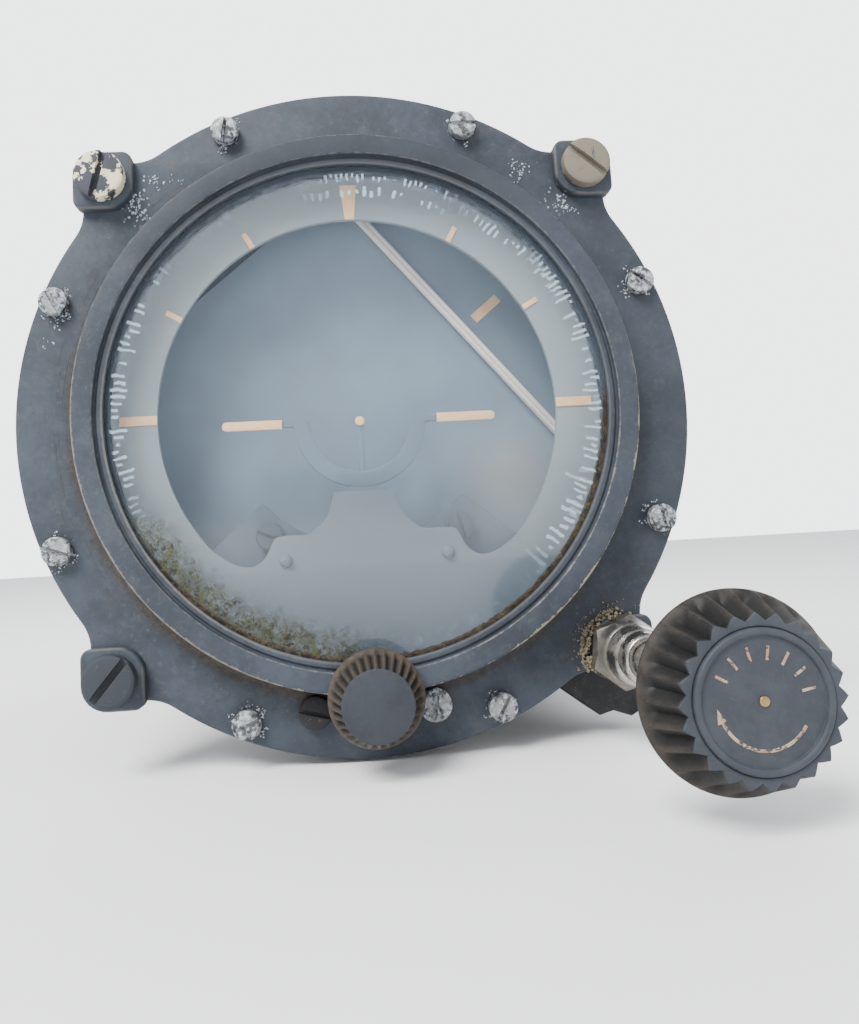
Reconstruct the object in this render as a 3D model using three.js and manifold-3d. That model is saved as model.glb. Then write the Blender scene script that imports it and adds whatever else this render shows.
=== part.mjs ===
// A panel-mounted gyro horizon, driven by suction, in millimetres with +Z up.
// X runs to the right as the dial is read and Y runs away from the reader, into the case.
// The origin is the centre of the panel seat, on the faces of the four mounting ears.
// The gimbals stand as they were found: rolled, and pitched against their stop.

import * as THREE from 'three';
import { mergeVertices } from 'three/addons/utils/BufferGeometryUtils.js';
import { ConvexGeometry } from 'three/addons/geometries/ConvexGeometry.js';
import Module from 'manifold-3d';

const wasm = await Module();
wasm.setup();

// Fits shared by every piece
const FIT = 0.3;
const OVERRUN = 1;
const WELD = 0.001;

// Sides of round pieces, by size
const ROUND = 36;
const MIDDLE_ROUND = 16;
const SMALL_ROUND = 10;

// How the gimbals stand
const ROLL_AT_REST = 50.5;
const PITCH_AT_REST = 60;
const BAR_AT_REST = 15.7;

// The front casting with its ring, flange and ears. The ring's radius drives the other round sizes.
const bezel = {
  ringR: 49.1, ringFront: -5.3, ringEdge: 0.5, coveR: 2, ringWall: 3.3, ringFlat: 3.7, lipWide: 1.6,
  stepDepth: 0.9, lipThick: 0.8, flangeWide: 11.9, flangeFront: 2, back: 7, edge: 0.8,
};
const flangeR = bezel.ringR + bezel.flangeWide;
const flatR = bezel.ringR - bezel.ringFlat;
const lipR = flatR - bezel.lipWide;
const boreR = bezel.ringR - bezel.ringWall;
const ear = {
  beyond: 1.862, bodyR: 5.2, filletR: 8, padFront: 0, padHalf: 5.35, padRound: 4.6, padCorner: 1.8,
  holeR: 2.7,
};
const earOffset = (flangeR + ear.beyond) / Math.SQRT2;
const screwInset = 3;
const screwCircle = { r: flangeR - screwInset, count: 8, first: 22.5 };

// Window, seal, retaining ring and dial mask, stacked in the bore
const glass = { r: boreR - FIT, thick: 2.4 };
const seal = { wide: 1.6, thick: 0.8 };
const retainer = { wide: 1.4, thick: 0.7 };
const mask = {
  wide: 9.45, thick: 1, skirtWall: 0.6, markProud: 0.15, markWide: 1, ninetyWide: 1.7,
  indexInset: 2.9, indexTopHalf: 1.55, indexTipHalf: 0.85, shortMark: 3.1, ninetyMark: 6.6,
};
const openingR = glass.r - mask.wide;
const indexTop = glass.r - mask.indexInset;
const lowerPlateShares = [
  [0.144, -0.399], [0.158, -0.42], [0.178, -0.495], [0.205, -0.54], [0.258, -0.585], [0.29, -0.601],
  [0.422, -0.603], [0.458, -0.627], [0.48, -0.674], [0.516, -0.721], [0.577, -0.746], [0.666, -0.721],
  [0.766, -0.646], [0.9, -0.52], [0.84, -0.83], [0, -1.12],
];

// The bracket behind the lower part of the mask
const maskBracket = {
  gapBehind: 3.2, thick: 1, wide: 20.2, inset: 1.3, spread: 100, rivetR: 1.2, bossR: 2.7,
};
const bracketR = glass.r - maskBracket.inset;
const rivetShares = [0.3994, -0.724];
const maskScrewShares = [0.48, -0.599];
const [rivetX, rivetZ] = rivetShares.map((share) => share * openingR);
const [maskScrewX, maskScrewZ] = maskScrewShares.map((share) => share * openingR);
const maskScrew = { headR: 2.45, headHigh: 1.4, shankR: 1.1, shankLong: 2.4, slotWide: 0.6, slotDeep: 0.6 };

// The miniature airplane and the eccentric that sets its height
const airplane = {
  front: 4.9, thick: 0.8, lineZ: -1.25, wingIn: 14.3, wingOut: 25.2, wingHigh: 1.7, linkHigh: 1.1,
  yokeOut: 12.2, yokeIn: 9.3, prongWide: 1.1, dotR: 0.9, stemHalf: 2.5, footHigh: 4.8, slotHalf: 1.3,
};
const adjuster = {
  throw: 3.6, pinR: 0.9, shaftR: 1.7, bushR: 2.9, bossR: 5.8, bossFront: -4.9, crankR: 4.9,
  crankThick: 1.1, pocketFront: 3.1, pocketHalf: 7.6, pocketDeep: 5.2, guideHalf: 13.5, guideThick: 0.7,
  guideUp: 2.1, guideDown: 7.4, screwX: 10.4, screwBelow: 3.3,
};
const adjusterZ = -bezel.ringR;
const adjusterScrewZ = adjusterZ - adjuster.screwBelow;
const adjustKnob = { rear: -6.2, high: 8, rearR: 8, frontR: 6, rimHigh: 1.6, teeth: 30, toothDeep: 0.5 };

// Fillister screws: those of the bezel, the mounting and the adjuster
const bezelScrew = { headR: 2.5, headHigh: 2, shankR: 1.5, shankLong: 8.6, slotWide: 0.7, slotDeep: 0.8 };
const mountScrew = { headR: 4.4, headHigh: 2.5, shankR: 2.4, shankLong: 14, slotWide: 1.3, slotDeep: 1.2 };
const adjusterScrew = {
  headR: 2.9, headHigh: 1.6, shankR: 1.2, shankLong: 4.7, slotWide: 0.8, slotDeep: 0.7,
};
const rearScrew = { headR: 2.5, headHigh: 2, shankR: 1.4, shankLong: 8.4, slotWide: 0.7, slotDeep: 0.8 };

// The case with its barrel, flange and caging boss
const caseBody = {
  gasket: 0.8, flangeInset: 0.4, flangeThick: 3.6, lipWide: 1.5, lipThick: 1, barrelInset: 6.5, wall: 2,
  behindGimbal: 16, endWide: 4, endLong: 6, endSlope: 4,
};
const caseFlangeR = flangeR - caseBody.flangeInset;
const barrelR = flangeR - caseBody.barrelInset;
const innerR = barrelR - caseBody.wall;
const endR = innerR - caseBody.endWide;
const caseLipR = boreR - caseBody.lipWide;

// The caging drive: knob, gland, shaft, cam and plunger
const cage = {
  inward: 0.25, lower: 0.75, shaftR: 2.8, drumR: 14, drumLong: 13, tunnelR: 6.5, boxR: 11.4, boxBoreR: 8.9,
  boxFront: 78, boxBack: 95, boxWall: 2.5, coverThick: 2, stroke: 4.5, camLow: 4, camThick: 4.5,
  springR: 7.6, springThick: 3.6, turn: 180, holdTo: 200, fallTurn: 130, camSteps: 45,
};
const cageX = earOffset - cage.inward;
const cageZ = -earOffset - cage.lower;
const gland = {
  nutAcross: 11.5, nutHigh: 5, nutChamfer: 0.6, domeR: 5.1, rimR: 3.9, domeLong: 6.6, stemR: 3.8,
  stemBack: 6.5,
};
const cageKnob = {
  rear: -38.8, high: 7.6, rearR: 12.85, frontR: 10.5, rimHigh: 1.5, teeth: 24, rootR: 9.3, beadR: 9,
  faceR: 8.3, faceDeep: 0.5, fluteShare: 0.8, pinR: 0.6, hubR: 5, hubLong: 4,
};
const plunger = { r: 2, tipR: 0.5, tipLong: 2.5, reach: 2.5, guideR: 4, guideReach: 2.9, slack: 0.5 };

// The roll gimbal and its bearings
const gimbal = {
  start: 28.2, endGap: 8.5, wallGap: 13.1, railWide: 3.8, railHigh: 9, plateThick: 4.4, trunnionR: 3,
  sectorHigh: 21, sectorAhead: 23, sectorBehind: 9, slotSpare: 8, trimX: 1, trimY: 48, trimDown: 32,
};
const railOut = innerR - gimbal.wallGap;
const railIn = railOut - gimbal.railWide;
const discPlate = {
  front: 14.9, thick: 1, rimGap: 1.3, hubR: 5, hubLong: 3.2, hubFloor: 0.6,
  pointerBeyond: 2.25, pointerLong: 6.7, pointerWide: 2, pointerProud: 0.2,
};
const discR = caseLipR - discPlate.rimGap;
const pointerOut = openingR + discPlate.pointerBeyond;
const pointerIn = pointerOut - discPlate.pointerLong;
const bracket = {
  front: 19.4, thick: 3, hubR: 8, armHalf: 5, footHalf: 9, footThick: 4.5, footLong: 10, boreR: 5.5,
};
const bearing = { outerR: 5.2, innerR: 3.3, wide: 3 };
const rearBearing = { outerR: 6.9, innerR: 3.3, wide: 4 };

// The horizon bar and its lever
const bar = {
  levelFront: 9.6, pivotInset: 1, guideR: 15.5, pinR: 1, slotHalf: 1.55, leverGap: 0.8, leverThick: 1.5,
  tipHalf: 1.3, bodyHalf: 2.6, slotBodyHalf: 4, stripHalf: 0.8, stripThick: 1.2, stripShort: 7,
  pivotR: 1.5, tailLong: 15, weightThick: 5.8, weightLong: 9.6, weightHalf: 5,
};
const leverX = railOut + bar.leverGap;

// The gyro housing, rotor and pendulous air valve
const housing = {
  railGap: 3.1, wall: 2.5, half: 18, floor: 3, coverThick: 4.4, trunnionR: 2.5, bearingBoss: 5, jetR: 1.2,
  jetShare: 0.8,
};
const rotor = {
  wallGap: 3, high: 22, webThick: 6, rimThick: 7, hubR: 6, axleR: 1.5, buckets: 12, bucketR: 1.6,
};
const housingR = railIn - housing.railGap;
const rotorR = housingR - housing.wall - rotor.wallGap;
const valve = {
  half: 8.5, under: 0.6, high: 13, portHalf: 2.4, axleR: 0.8, upperAxle: 4, lowerAxle: 7.6, vaneGap: 0.6,
  vaneThick: 1, vaneHalf: 3.5, vaneDrop: 9, vaneRise: 2,
};
const valveTop = housing.half + valve.under;

// The rear cover with its filter and ports
const rear = {
  coverThick: 4, bossR: 9.6, bossLong: 15.9, filterBossR: 15, filterBossLong: 6.6, filterR: 12.2,
  filterThick: 2.7, filterRingIn: 9, filterRingThick: 1.4, airwayR: 2.2,
};
const portShares = [0.47706, -0.40367];
const [portX, portZ] = portShares.map((share) => share * barrelR);
const rearCircle = { r: barrelR - screwInset, count: 4, first: 45 };
const elbow = {
  baseAcross: 15, baseHigh: 4.5, tubeR: 5, boreR: 3.2, shankR: 4.6, out: 8, drop: 20, lipR: 5.8,
  lipLong: 2.5,
};
const plug = { across: 11, high: 5, shankR: 4.3 };

// Places along Y that follow from the sizes above
const lipBack = bezel.ringFront + bezel.stepDepth + bezel.lipThick;
const glassFront = lipBack + FIT;
const sealFront = glassFront + glass.thick + FIT;
const retainerFront = sealFront + seal.thick + FIT;
const maskFront = retainerFront + retainer.thick + FIT;
const maskBack = maskFront + mask.thick;
const gasketFront = bezel.back + FIT;
const caseFront = gasketFront + caseBody.gasket + FIT;
const barrelFront = caseFront + caseBody.lipThick;
const gimbalReach = housingR + gimbal.endGap;
const pitchY = gimbal.start + gimbal.plateThick + gimbalReach;
const gimbalFront = gimbal.start;
const gimbalBack = pitchY + gimbalReach + gimbal.plateThick;
const pivotBack = gimbalReach - bar.pivotInset;
const barPivotY = pitchY + pivotBack;
const barLength = barPivotY - bar.levelFront;
const caseBack = gimbalBack + caseBody.behindGimbal;
const rearGasketFront = caseBack + FIT;
const coverFront = rearGasketFront + caseBody.gasket + FIT;
const coverBack = coverFront + rear.coverThick;
const bossFront = coverBack - rear.bossLong;
const caseRadius = Math.hypot(cageX, cageZ);
const camFront = cage.boxBack - cage.coverThick - FIT - cage.camThick - FIT;
const plungerY = camFront + cage.camThick / 2;

const degrees = THREE.MathUtils.degToRad;

// Geometry in and out of the solid kernel

function signedVolume(positions, triangles) {
  const a = new THREE.Vector3();
  const b = new THREE.Vector3();
  const c = new THREE.Vector3();
  let sum = 0;
  for (let i = 0; i < triangles.length; i += 3) {
    a.fromArray(positions, triangles[i] * 3);
    b.fromArray(positions, triangles[i + 1] * 3);
    c.fromArray(positions, triangles[i + 2] * 3);
    sum += a.dot(b.cross(c));
  }
  return sum / 6;
}

function toSolid(geometry) {
  const bare = geometry.clone();
  bare.deleteAttribute('normal');
  bare.deleteAttribute('uv');
  const merged = mergeVertices(bare, WELD);
  const index = merged.index.array;
  const kept = [];
  for (let i = 0; i < index.length; i += 3) {
    const [a, b, c] = [index[i], index[i + 1], index[i + 2]];
    if (a !== b && b !== c && c !== a) kept.push(a, b, c);
  }
  const positions = new Float32Array(merged.attributes.position.array);
  if (signedVolume(positions, kept) < 0) kept.reverse();
  const triVerts = new Uint32Array(kept);
  return new wasm.Manifold(new wasm.Mesh({ numProp: 3, vertProperties: positions, triVerts }));
}

function toGeometry(solid) {
  const mesh = solid.getMesh();
  const geometry = new THREE.BufferGeometry();
  const positions = new Float32Array(mesh.vertProperties);
  geometry.setAttribute('position', new THREE.BufferAttribute(positions, 3));
  geometry.setIndex(new THREE.BufferAttribute(new Uint32Array(mesh.triVerts), 1));
  geometry.computeVertexNormals();
  return geometry;
}

function join(...pieces) {
  const solids = pieces.flat().map(toSolid);
  return toGeometry(solids.reduce((sum, piece) => sum.add(piece)));
}

function cut(base, ...tools) {
  const solids = tools.flat().map(toSolid);
  return toGeometry(solids.reduce((left, tool) => left.subtract(tool), toSolid(base)));
}

function common(one, other) {
  return toGeometry(toSolid(one).intersect(toSolid(other)));
}

// Plain shapes; turned ones have their axis along Y

function moved(geometry, x, y, z) {
  return geometry.clone().translate(x, y, z);
}

function rolled(geometry, angle) {
  return geometry.clone().rotateY(degrees(angle));
}

function turned(profile, sides = ROUND) {
  const points = [...profile, profile[0]].map(([r, y]) => new THREE.Vector2(r, y));
  return new THREE.LatheGeometry(points, sides);
}

function rod(r, from, to, sides = MIDDLE_ROUND, farR = r) {
  const solid = new THREE.CylinderGeometry(farR, r, to - from, sides);
  return solid.translate(0, (from + to) / 2, 0);
}

function rodAlongX(r, from, to, sides = SMALL_ROUND) {
  return rod(r, from, to, sides).rotateZ(-Math.PI / 2);
}

function rodAlongZ(r, from, to, sides = SMALL_ROUND) {
  return rod(r, from, to, sides).rotateX(Math.PI / 2);
}

function tube(outer, inner, from, to, sides = MIDDLE_ROUND) {
  return turned([[inner, from], [outer, from], [outer, to], [inner, to]], sides);
}

function block(x0, x1, y0, y1, z0, z1) {
  const solid = new THREE.BoxGeometry(x1 - x0, y1 - y0, z1 - z0);
  return solid.translate((x0 + x1) / 2, (y0 + y1) / 2, (z0 + z1) / 2);
}

function plate(shape, from, to, curveSegments = SMALL_ROUND) {
  const solid = new THREE.ExtrudeGeometry(shape, { depth: to - from, bevelEnabled: false, curveSegments });
  return solid.rotateX(Math.PI / 2).translate(0, to, 0);
}

function sidePlate(shape, from, to) {
  const solid = new THREE.ExtrudeGeometry(shape, { depth: to - from, bevelEnabled: false });
  return solid.rotateX(Math.PI / 2).rotateZ(Math.PI / 2).translate(from, 0, 0);
}

function outline(points) {
  return new THREE.Shape(points.map(([x, z]) => new THREE.Vector2(x, z)));
}

function hexagon(across, from, to) {
  return rod(across / Math.sqrt(3), from, to, 6);
}

function around(radius, count, first, build) {
  return Array.from({ length: count }, (_, i) => {
    const angle = degrees(first + (i * 360) / count);
    return build(radius * Math.sin(angle), radius * Math.cos(angle), i);
  });
}

function arcPoints(cx, cz, r, from, to, steps) {
  return Array.from({ length: steps + 1 }, (_, i) => {
    const angle = degrees(from + ((to - from) * i) / steps);
    return [cx + r * Math.cos(angle), cz + r * Math.sin(angle)];
  });
}

// Finishes

function finish(color, roughness, metalness) {
  return () => new THREE.MeshStandardMaterial({ color, roughness, metalness, flatShading: true });
}
const darkPaint = finish(0x465059, 0.7, 0.1);
const maskPaint = finish(0x97a4a9, 0.7, 0);
const discPaint = finish(0x697984, 0.8, 0);
const luminousPaint = finish(0xe6be9b, 0.7, 0);
const blackPlastic = finish(0x3c4047, 0.55, 0);
const nickel = finish(0xb9b8ae, 0.3, 1);
const steel = finish(0x9a9c9e, 0.35, 1);
const wornSteel = finish(0xc2c0b8, 0.5, 0.8);
const brass = finish(0xb39254, 0.4, 1);
const aluminium = finish(0x9ba0a4, 0.45, 0.9);
const blackRubber = finish(0x24262a, 0.9, 0);
const felt = finish(0xcfc8b4, 0.95, 0);
const clearGlass = finish(0xdfe8ea, 0.05, 0);

function addPart(parent, name, geometry, material, place = [0, 0, 0]) {
  const mesh = new THREE.Mesh(geometry, material());
  mesh.name = name;
  mesh.position.set(...place);
  parent.add(mesh);
  return mesh;
}

// Fasteners: the head stands ahead of its seat at Y = 0 and the shank runs back from it

function slottedScrew(size, slotAngle) {
  const bevel = size.headHigh / 5;
  const head = turned([
    [0, -size.headHigh],
    [size.headR - bevel, -size.headHigh],
    [size.headR, bevel - size.headHigh],
    [size.headR, 0],
    [size.shankR, 0],
    [size.shankR, size.shankLong],
    [0, size.shankLong],
  ], SMALL_ROUND);
  const reach = size.headR + OVERRUN;
  const slot = block(-reach, reach, -size.headHigh - OVERRUN, size.slotDeep - size.headHigh,
    -size.slotWide / 2, size.slotWide / 2);
  return cut(head, rolled(slot, slotAngle));
}

// Front casting

function ringAndFlange() {
  const b = bezel;
  const cove = arcPoints(b.ringR + b.coveR, b.flangeFront - b.coveR, b.coveR, 180, 90, 2);
  return turned([
    [lipR, lipBack],
    [lipR, b.ringFront + b.stepDepth],
    [flatR, b.ringFront + b.stepDepth],
    [flatR, b.ringFront],
    [b.ringR - b.ringEdge, b.ringFront],
    [b.ringR, b.ringFront + b.ringEdge],
    ...cove,
    [flangeR - b.edge, b.flangeFront],
    [flangeR, b.flangeFront + b.edge],
    [flangeR, b.back],
    [boreR, b.back],
    [boreR, lipBack],
  ]);
}

function padShape() {
  const h = ear.padHalf;
  const big = ear.padRound;
  const small = ear.padCorner;
  const shape = new THREE.Shape();
  shape.moveTo(h, 0);
  shape.lineTo(h, h - big);
  shape.quadraticCurveTo(h, h, h - big, h);
  shape.lineTo(small - h, h);
  shape.quadraticCurveTo(-h, h, -h, h - small);
  shape.lineTo(-h, big - h);
  shape.quadraticCurveTo(-h, -h, big - h, -h);
  shape.lineTo(h - small, -h);
  shape.quadraticCurveTo(h, -h, h, small - h);
  return shape;
}

function earWeb() {
  const distance = Math.hypot(earOffset, earOffset);
  const toFlange = flangeR + ear.filletR;
  const toEar = ear.bodyR + ear.filletR;
  const along = (distance ** 2 + toFlange ** 2 - toEar ** 2) / (2 * distance);
  const aside = Math.sqrt(toFlange ** 2 - along ** 2);
  const kite = outline([[0, 0], [-aside, along], [0, distance], [aside, along]]);
  const web = plate(kite, bezel.flangeFront, bezel.back);
  const fillets = [-aside, aside].map((x) => {
    const fillet = rod(ear.filletR, bezel.flangeFront - OVERRUN, bezel.back + OVERRUN);
    return moved(fillet, x, 0, along);
  });
  const body = moved(rod(ear.bodyR, bezel.flangeFront, bezel.back), 0, 0, distance);
  const centre = rod(boreR, bezel.flangeFront - OVERRUN, bezel.back + OVERRUN, ROUND);
  return join(cut(web, ...fillets, centre), body);
}

function earHoles(from, to) {
  return [[-1, 1], [1, 1], [-1, -1]].map(([sx, sz]) =>
    moved(rod(ear.holeR, from, to, SMALL_ROUND), sx * earOffset, 0, sz * earOffset));
}

function bezelCasting() {
  const ears = around(Math.hypot(earOffset, earOffset), 4, 45, (x, z, i) => {
    const pad = rolled(plate(padShape(), ear.padFront, bezel.flangeFront + OVERRUN, 4), 90 * i);
    return [rolled(earWeb(), 45 + 90 * i), moved(pad, x, 0, z)];
  }).flat();
  const a = adjuster;
  const boss = moved(rod(a.bossR, a.bossFront, bezel.flangeFront + OVERRUN), 0, 0, adjusterZ);
  const bore = rod(boreR, lipBack, bezel.back + OVERRUN, ROUND);
  const lipHole = rod(lipR, bezel.ringFront - OVERRUN, bezel.back, ROUND);
  const through = (r, x, z) => {
    const hole = rod(r, bezel.ringFront - OVERRUN, bezel.back + OVERRUN, SMALL_ROUND);
    return moved(hole, x, 0, z);
  };
  const screwHoles = around(screwCircle.r, screwCircle.count, screwCircle.first,
    (x, z) => through(bezelScrew.shankR + FIT, x, z));
  const pocket = block(-a.pocketHalf, a.pocketHalf, a.pocketFront, bezel.back + OVERRUN,
    adjusterZ - a.pocketDeep, -boreR + OVERRUN * 2);
  const guideSeat = block(-a.guideHalf - FIT, a.guideHalf + FIT, bezel.back - a.guideThick - FIT,
    bezel.back + OVERRUN, adjusterZ - a.guideDown - FIT, adjusterZ + a.guideUp + FIT);
  const guideHoles = [-1, 1].map((side) =>
    through(adjusterScrew.shankR + FIT, side * a.screwX, adjusterScrewZ));
  const glandHole = through(gland.stemR + FIT, cageX, cageZ);
  const bushHole = through(a.bushR + FIT, 0, adjusterZ);
  return cut(
    join(ringAndFlange(), ...ears, boss), bore, lipHole, ...screwHoles,
    ...earHoles(ear.padFront - OVERRUN, bezel.back + OVERRUN),
    glandHole, bushHole, pocket, guideSeat, ...guideHoles,
  );
}

function gasketRing() {
  const c = caseBody;
  const ring = tube(caseFlangeR, glass.r + FIT, gasketFront, gasketFront + c.gasket, ROUND);
  const holes = around(screwCircle.r, screwCircle.count, screwCircle.first, (x, z) =>
    moved(rod(bezelScrew.shankR + FIT, bezel.back, caseFront, SMALL_ROUND), x, 0, z));
  const well = rod(cage.shaftR + gland.stemR, bezel.back, caseFront, SMALL_ROUND);
  return cut(ring, ...holes, moved(well, cageX, 0, cageZ), ...earHoles(bezel.back, caseFront));
}

// Dial mask with its marks, lower plate and skirt

function maskMarks() {
  const m = mask;
  const front = maskFront - m.markProud;
  const behind = maskFront + m.thick / 2;
  const index = plate(outline([
    [-m.indexTopHalf, indexTop],
    [m.indexTopHalf, indexTop],
    [m.indexTipHalf, openingR],
    [-m.indexTipHalf, openingR],
  ]), front, behind);
  const radial = (wide, long, angle) =>
    rolled(block(-wide / 2, wide / 2, front, behind, openingR, openingR + long), angle);
  const short = [-60, -30, 30, 60].map((angle) => radial(m.markWide, m.shortMark, angle));
  const ninety = [-90, 90].map((angle) => radial(m.ninetyWide, m.ninetyMark, angle));
  return [index, ...short, ...ninety];
}

function lowerPlate() {
  const right = lowerPlateShares.map(([x, z]) => [x * openingR, z * openingR]);
  const left = right.slice(0, -1).reverse().map(([x, z]) => [-x, z]);
  return plate(outline([...right, ...left]), maskFront, maskBack);
}

function dialMask() {
  const m = mask;
  const skirtBack = gasketFront + caseBody.gasket;
  const cup = turned([
    [openingR, maskFront],
    [glass.r, maskFront],
    [glass.r, skirtBack],
    [glass.r - m.skirtWall, skirtBack],
    [glass.r - m.skirtWall, maskBack],
    [openingR, maskBack],
  ]);
  const notch = block(-adjuster.pocketHalf, adjuster.pocketHalf, maskBack + FIT, skirtBack + OVERRUN,
    -glass.r - OVERRUN, -glass.r + OVERRUN * 3);
  const rivets = [-1, 1].map((side) => {
    const rivet = rod(maskBracket.rivetR, maskFront - m.markProud * 2, maskBack + FIT * 2, SMALL_ROUND);
    return moved(rivet, side * rivetX, 0, rivetZ);
  });
  return cut(join(cup, lowerPlate(), ...maskMarks(), ...rivets), notch);
}

function bracketBehindMask() {
  const b = maskBracket;
  const front = maskBack + b.gapBehind;
  const from = 270 - b.spread / 2;
  const shape = outline([
    ...arcPoints(0, 0, bracketR, from, from + b.spread, SMALL_ROUND),
    ...arcPoints(0, 0, bracketR - b.wide, from + b.spread, from, SMALL_ROUND),
  ]);
  const boss = (x, z, boreR, bossFront) => {
    const body = moved(rod(b.bossR, bossFront, front + b.thick), x, 0, z);
    return [body, moved(rod(boreR, bossFront - OVERRUN, front + b.thick + OVERRUN, SMALL_ROUND), x, 0, z)];
  };
  const made = [-1, 1].flatMap((side) => [
    boss(side * rivetX, rivetZ, b.rivetR + FIT, maskBack + FIT),
    boss(side * maskScrewX, maskScrewZ, maskScrew.shankR + FIT, maskScrewSeat() + FIT),
  ]);
  const bosses = made.map(([body]) => body);
  const holes = made.map(([, hole]) => hole);
  return cut(join(plate(shape, front, front + b.thick), ...bosses), holes);
}

function maskScrewSeat() {
  return maskBack + FIT + maskScrew.headHigh;
}

// Miniature airplane: wings, yoke, prong, dot, stem and slotted foot

function airplaneSheet() {
  const a = airplane;
  const back = a.front + a.thick;
  const line = a.lineZ;
  const sheet = (x0, x1, z0, z1) => block(x0, x1, a.front, back, z0, z1);
  const wings = [-1, 1].map((side) => {
    const [near, far] = [side * a.wingIn, side * a.wingOut].sort((p, q) => p - q);
    return sheet(near, far, line - a.wingHigh / 2, line + a.wingHigh / 2);
  });
  const links = [-1, 1].map((side) => {
    const [near, far] = [side * a.yokeIn, side * (a.wingIn + OVERRUN)].sort((p, q) => p - q);
    return sheet(near, far, line - a.linkHigh / 2, line + a.linkHigh / 2);
  });
  const yoke = plate(outline([
    ...arcPoints(0, line, a.yokeOut, 180, 360, SMALL_ROUND),
    ...arcPoints(0, line, a.yokeIn, 360, 180, SMALL_ROUND),
  ]), a.front, back);
  const footTop = adjusterZ + a.footHigh / 2;
  const footHalf = adjuster.pocketHalf - FIT;
  const foot = sheet(-footHalf, footHalf, adjusterZ - a.footHigh / 2, footTop);
  const stem = sheet(-a.stemHalf, a.stemHalf, footTop - OVERRUN, line - a.yokeIn - OVERRUN);
  const prong = sheet(-a.prongWide / 2, a.prongWide / 2, line - a.yokeIn - OVERRUN, line);
  const dot = moved(rod(a.dotR, a.front, back, SMALL_ROUND), 0, 0, line);
  const swing = adjuster.throw * Math.cos(Math.PI / 4);
  const slot = block(swing - a.slotHalf, adjuster.throw + a.slotHalf, a.front - OVERRUN, back + OVERRUN,
    adjusterZ - a.slotHalf, adjusterZ + a.slotHalf);
  return cut(join(yoke, ...wings, ...links, stem, prong, dot, foot), slot);
}

function adjustShaft() {
  const a = adjuster;
  const crankFront = a.pocketFront + FIT;
  const crankBack = crankFront + a.crankThick;
  const shaft = rod(a.shaftR, adjustKnob.rear - adjustKnob.high / 2, crankBack, SMALL_ROUND);
  const pinBack = bezel.back - a.guideThick - FIT * 2;
  const pin = moved(rod(a.pinR, crankFront, pinBack, SMALL_ROUND), a.throw, 0, 0);
  return join(shaft, rod(a.crankR, crankFront, crankBack), pin);
}

function footGuide() {
  const a = adjuster;
  const body = block(-a.guideHalf, a.guideHalf, bezel.back - a.guideThick, bezel.back,
    adjusterZ - a.guideDown, adjusterZ + a.guideUp);
  const hole = rod(adjusterScrew.shankR + FIT, a.pocketFront, bezel.back + OVERRUN, SMALL_ROUND);
  return cut(body, [-1, 1].map((side) => moved(hole, side * a.screwX, 0, adjusterScrewZ)));
}

function flute(knob, index, front, back) {
  const half = Math.PI / knob.teeth;
  const outerR = knob.rearR + OVERRUN;
  const aside = (half * knob.frontR * (outerR - knob.rootR)) / (knob.frontR - knob.rootR);
  const wedge = new ConvexGeometry([
    new THREE.Vector3(0, front - OVERRUN, knob.rootR),
    new THREE.Vector3(-aside, front - OVERRUN, outerR),
    new THREE.Vector3(aside, front - OVERRUN, outerR),
    new THREE.Vector3(0, back, outerR),
  ]);
  return wedge.rotateY((2 * index + 1) * half);
}

function adjustKnobBody() {
  const k = adjustKnob;
  const front = k.rear - k.high;
  const body = turned([
    [0, front],
    [k.frontR - k.toothDeep, front],
    [k.frontR, front + k.toothDeep],
    [k.rearR, k.rear - k.rimHigh],
    [k.rearR, k.rear],
    [0, k.rear],
  ], k.teeth);
  const notches = around(k.rearR, k.teeth, 180 / k.teeth, (x, z) => {
    const groove = rod(k.toothDeep, front - OVERRUN, k.rear + OVERRUN, 4);
    return moved(groove, x, 0, z);
  });
  const bore = rod(adjuster.shaftR + FIT, k.rear - k.high / 2 - FIT, k.rear + OVERRUN, SMALL_ROUND);
  return cut(body, ...notches, bore);
}

// Caging drive

function glandNut() {
  const g = gland;
  const back = ear.padFront - FIT;
  const corner = g.nutAcross / Math.sqrt(3);
  const hex = hexagon(g.nutAcross, back - g.nutHigh, back);
  const bevelled = turned([
    [0, back - g.nutHigh],
    [corner - g.nutChamfer * 2, back - g.nutHigh],
    [corner, back - g.nutHigh + g.nutChamfer],
    [corner, back],
    [0, back],
  ], MIDDLE_ROUND);
  return cut(common(hex, bevelled), rod(g.stemR + FIT, back - g.nutHigh - OVERRUN, back + OVERRUN));
}

function glandBush() {
  const g = gland;
  const domeBack = ear.padFront - FIT - g.nutHigh - FIT;
  const domeFront = domeBack - g.domeLong;
  const boreR = cage.shaftR + FIT;
  return turned([
    [boreR, domeFront],
    [g.rimR, domeFront],
    [g.rimR, domeFront + g.domeLong / 4],
    [(g.rimR + g.domeR) / 2, domeFront + g.domeLong / 2],
    [g.domeR, domeBack],
    [g.stemR, domeBack],
    [g.stemR, g.stemBack],
    [boreR, g.stemBack],
  ], MIDDLE_ROUND);
}

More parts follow.
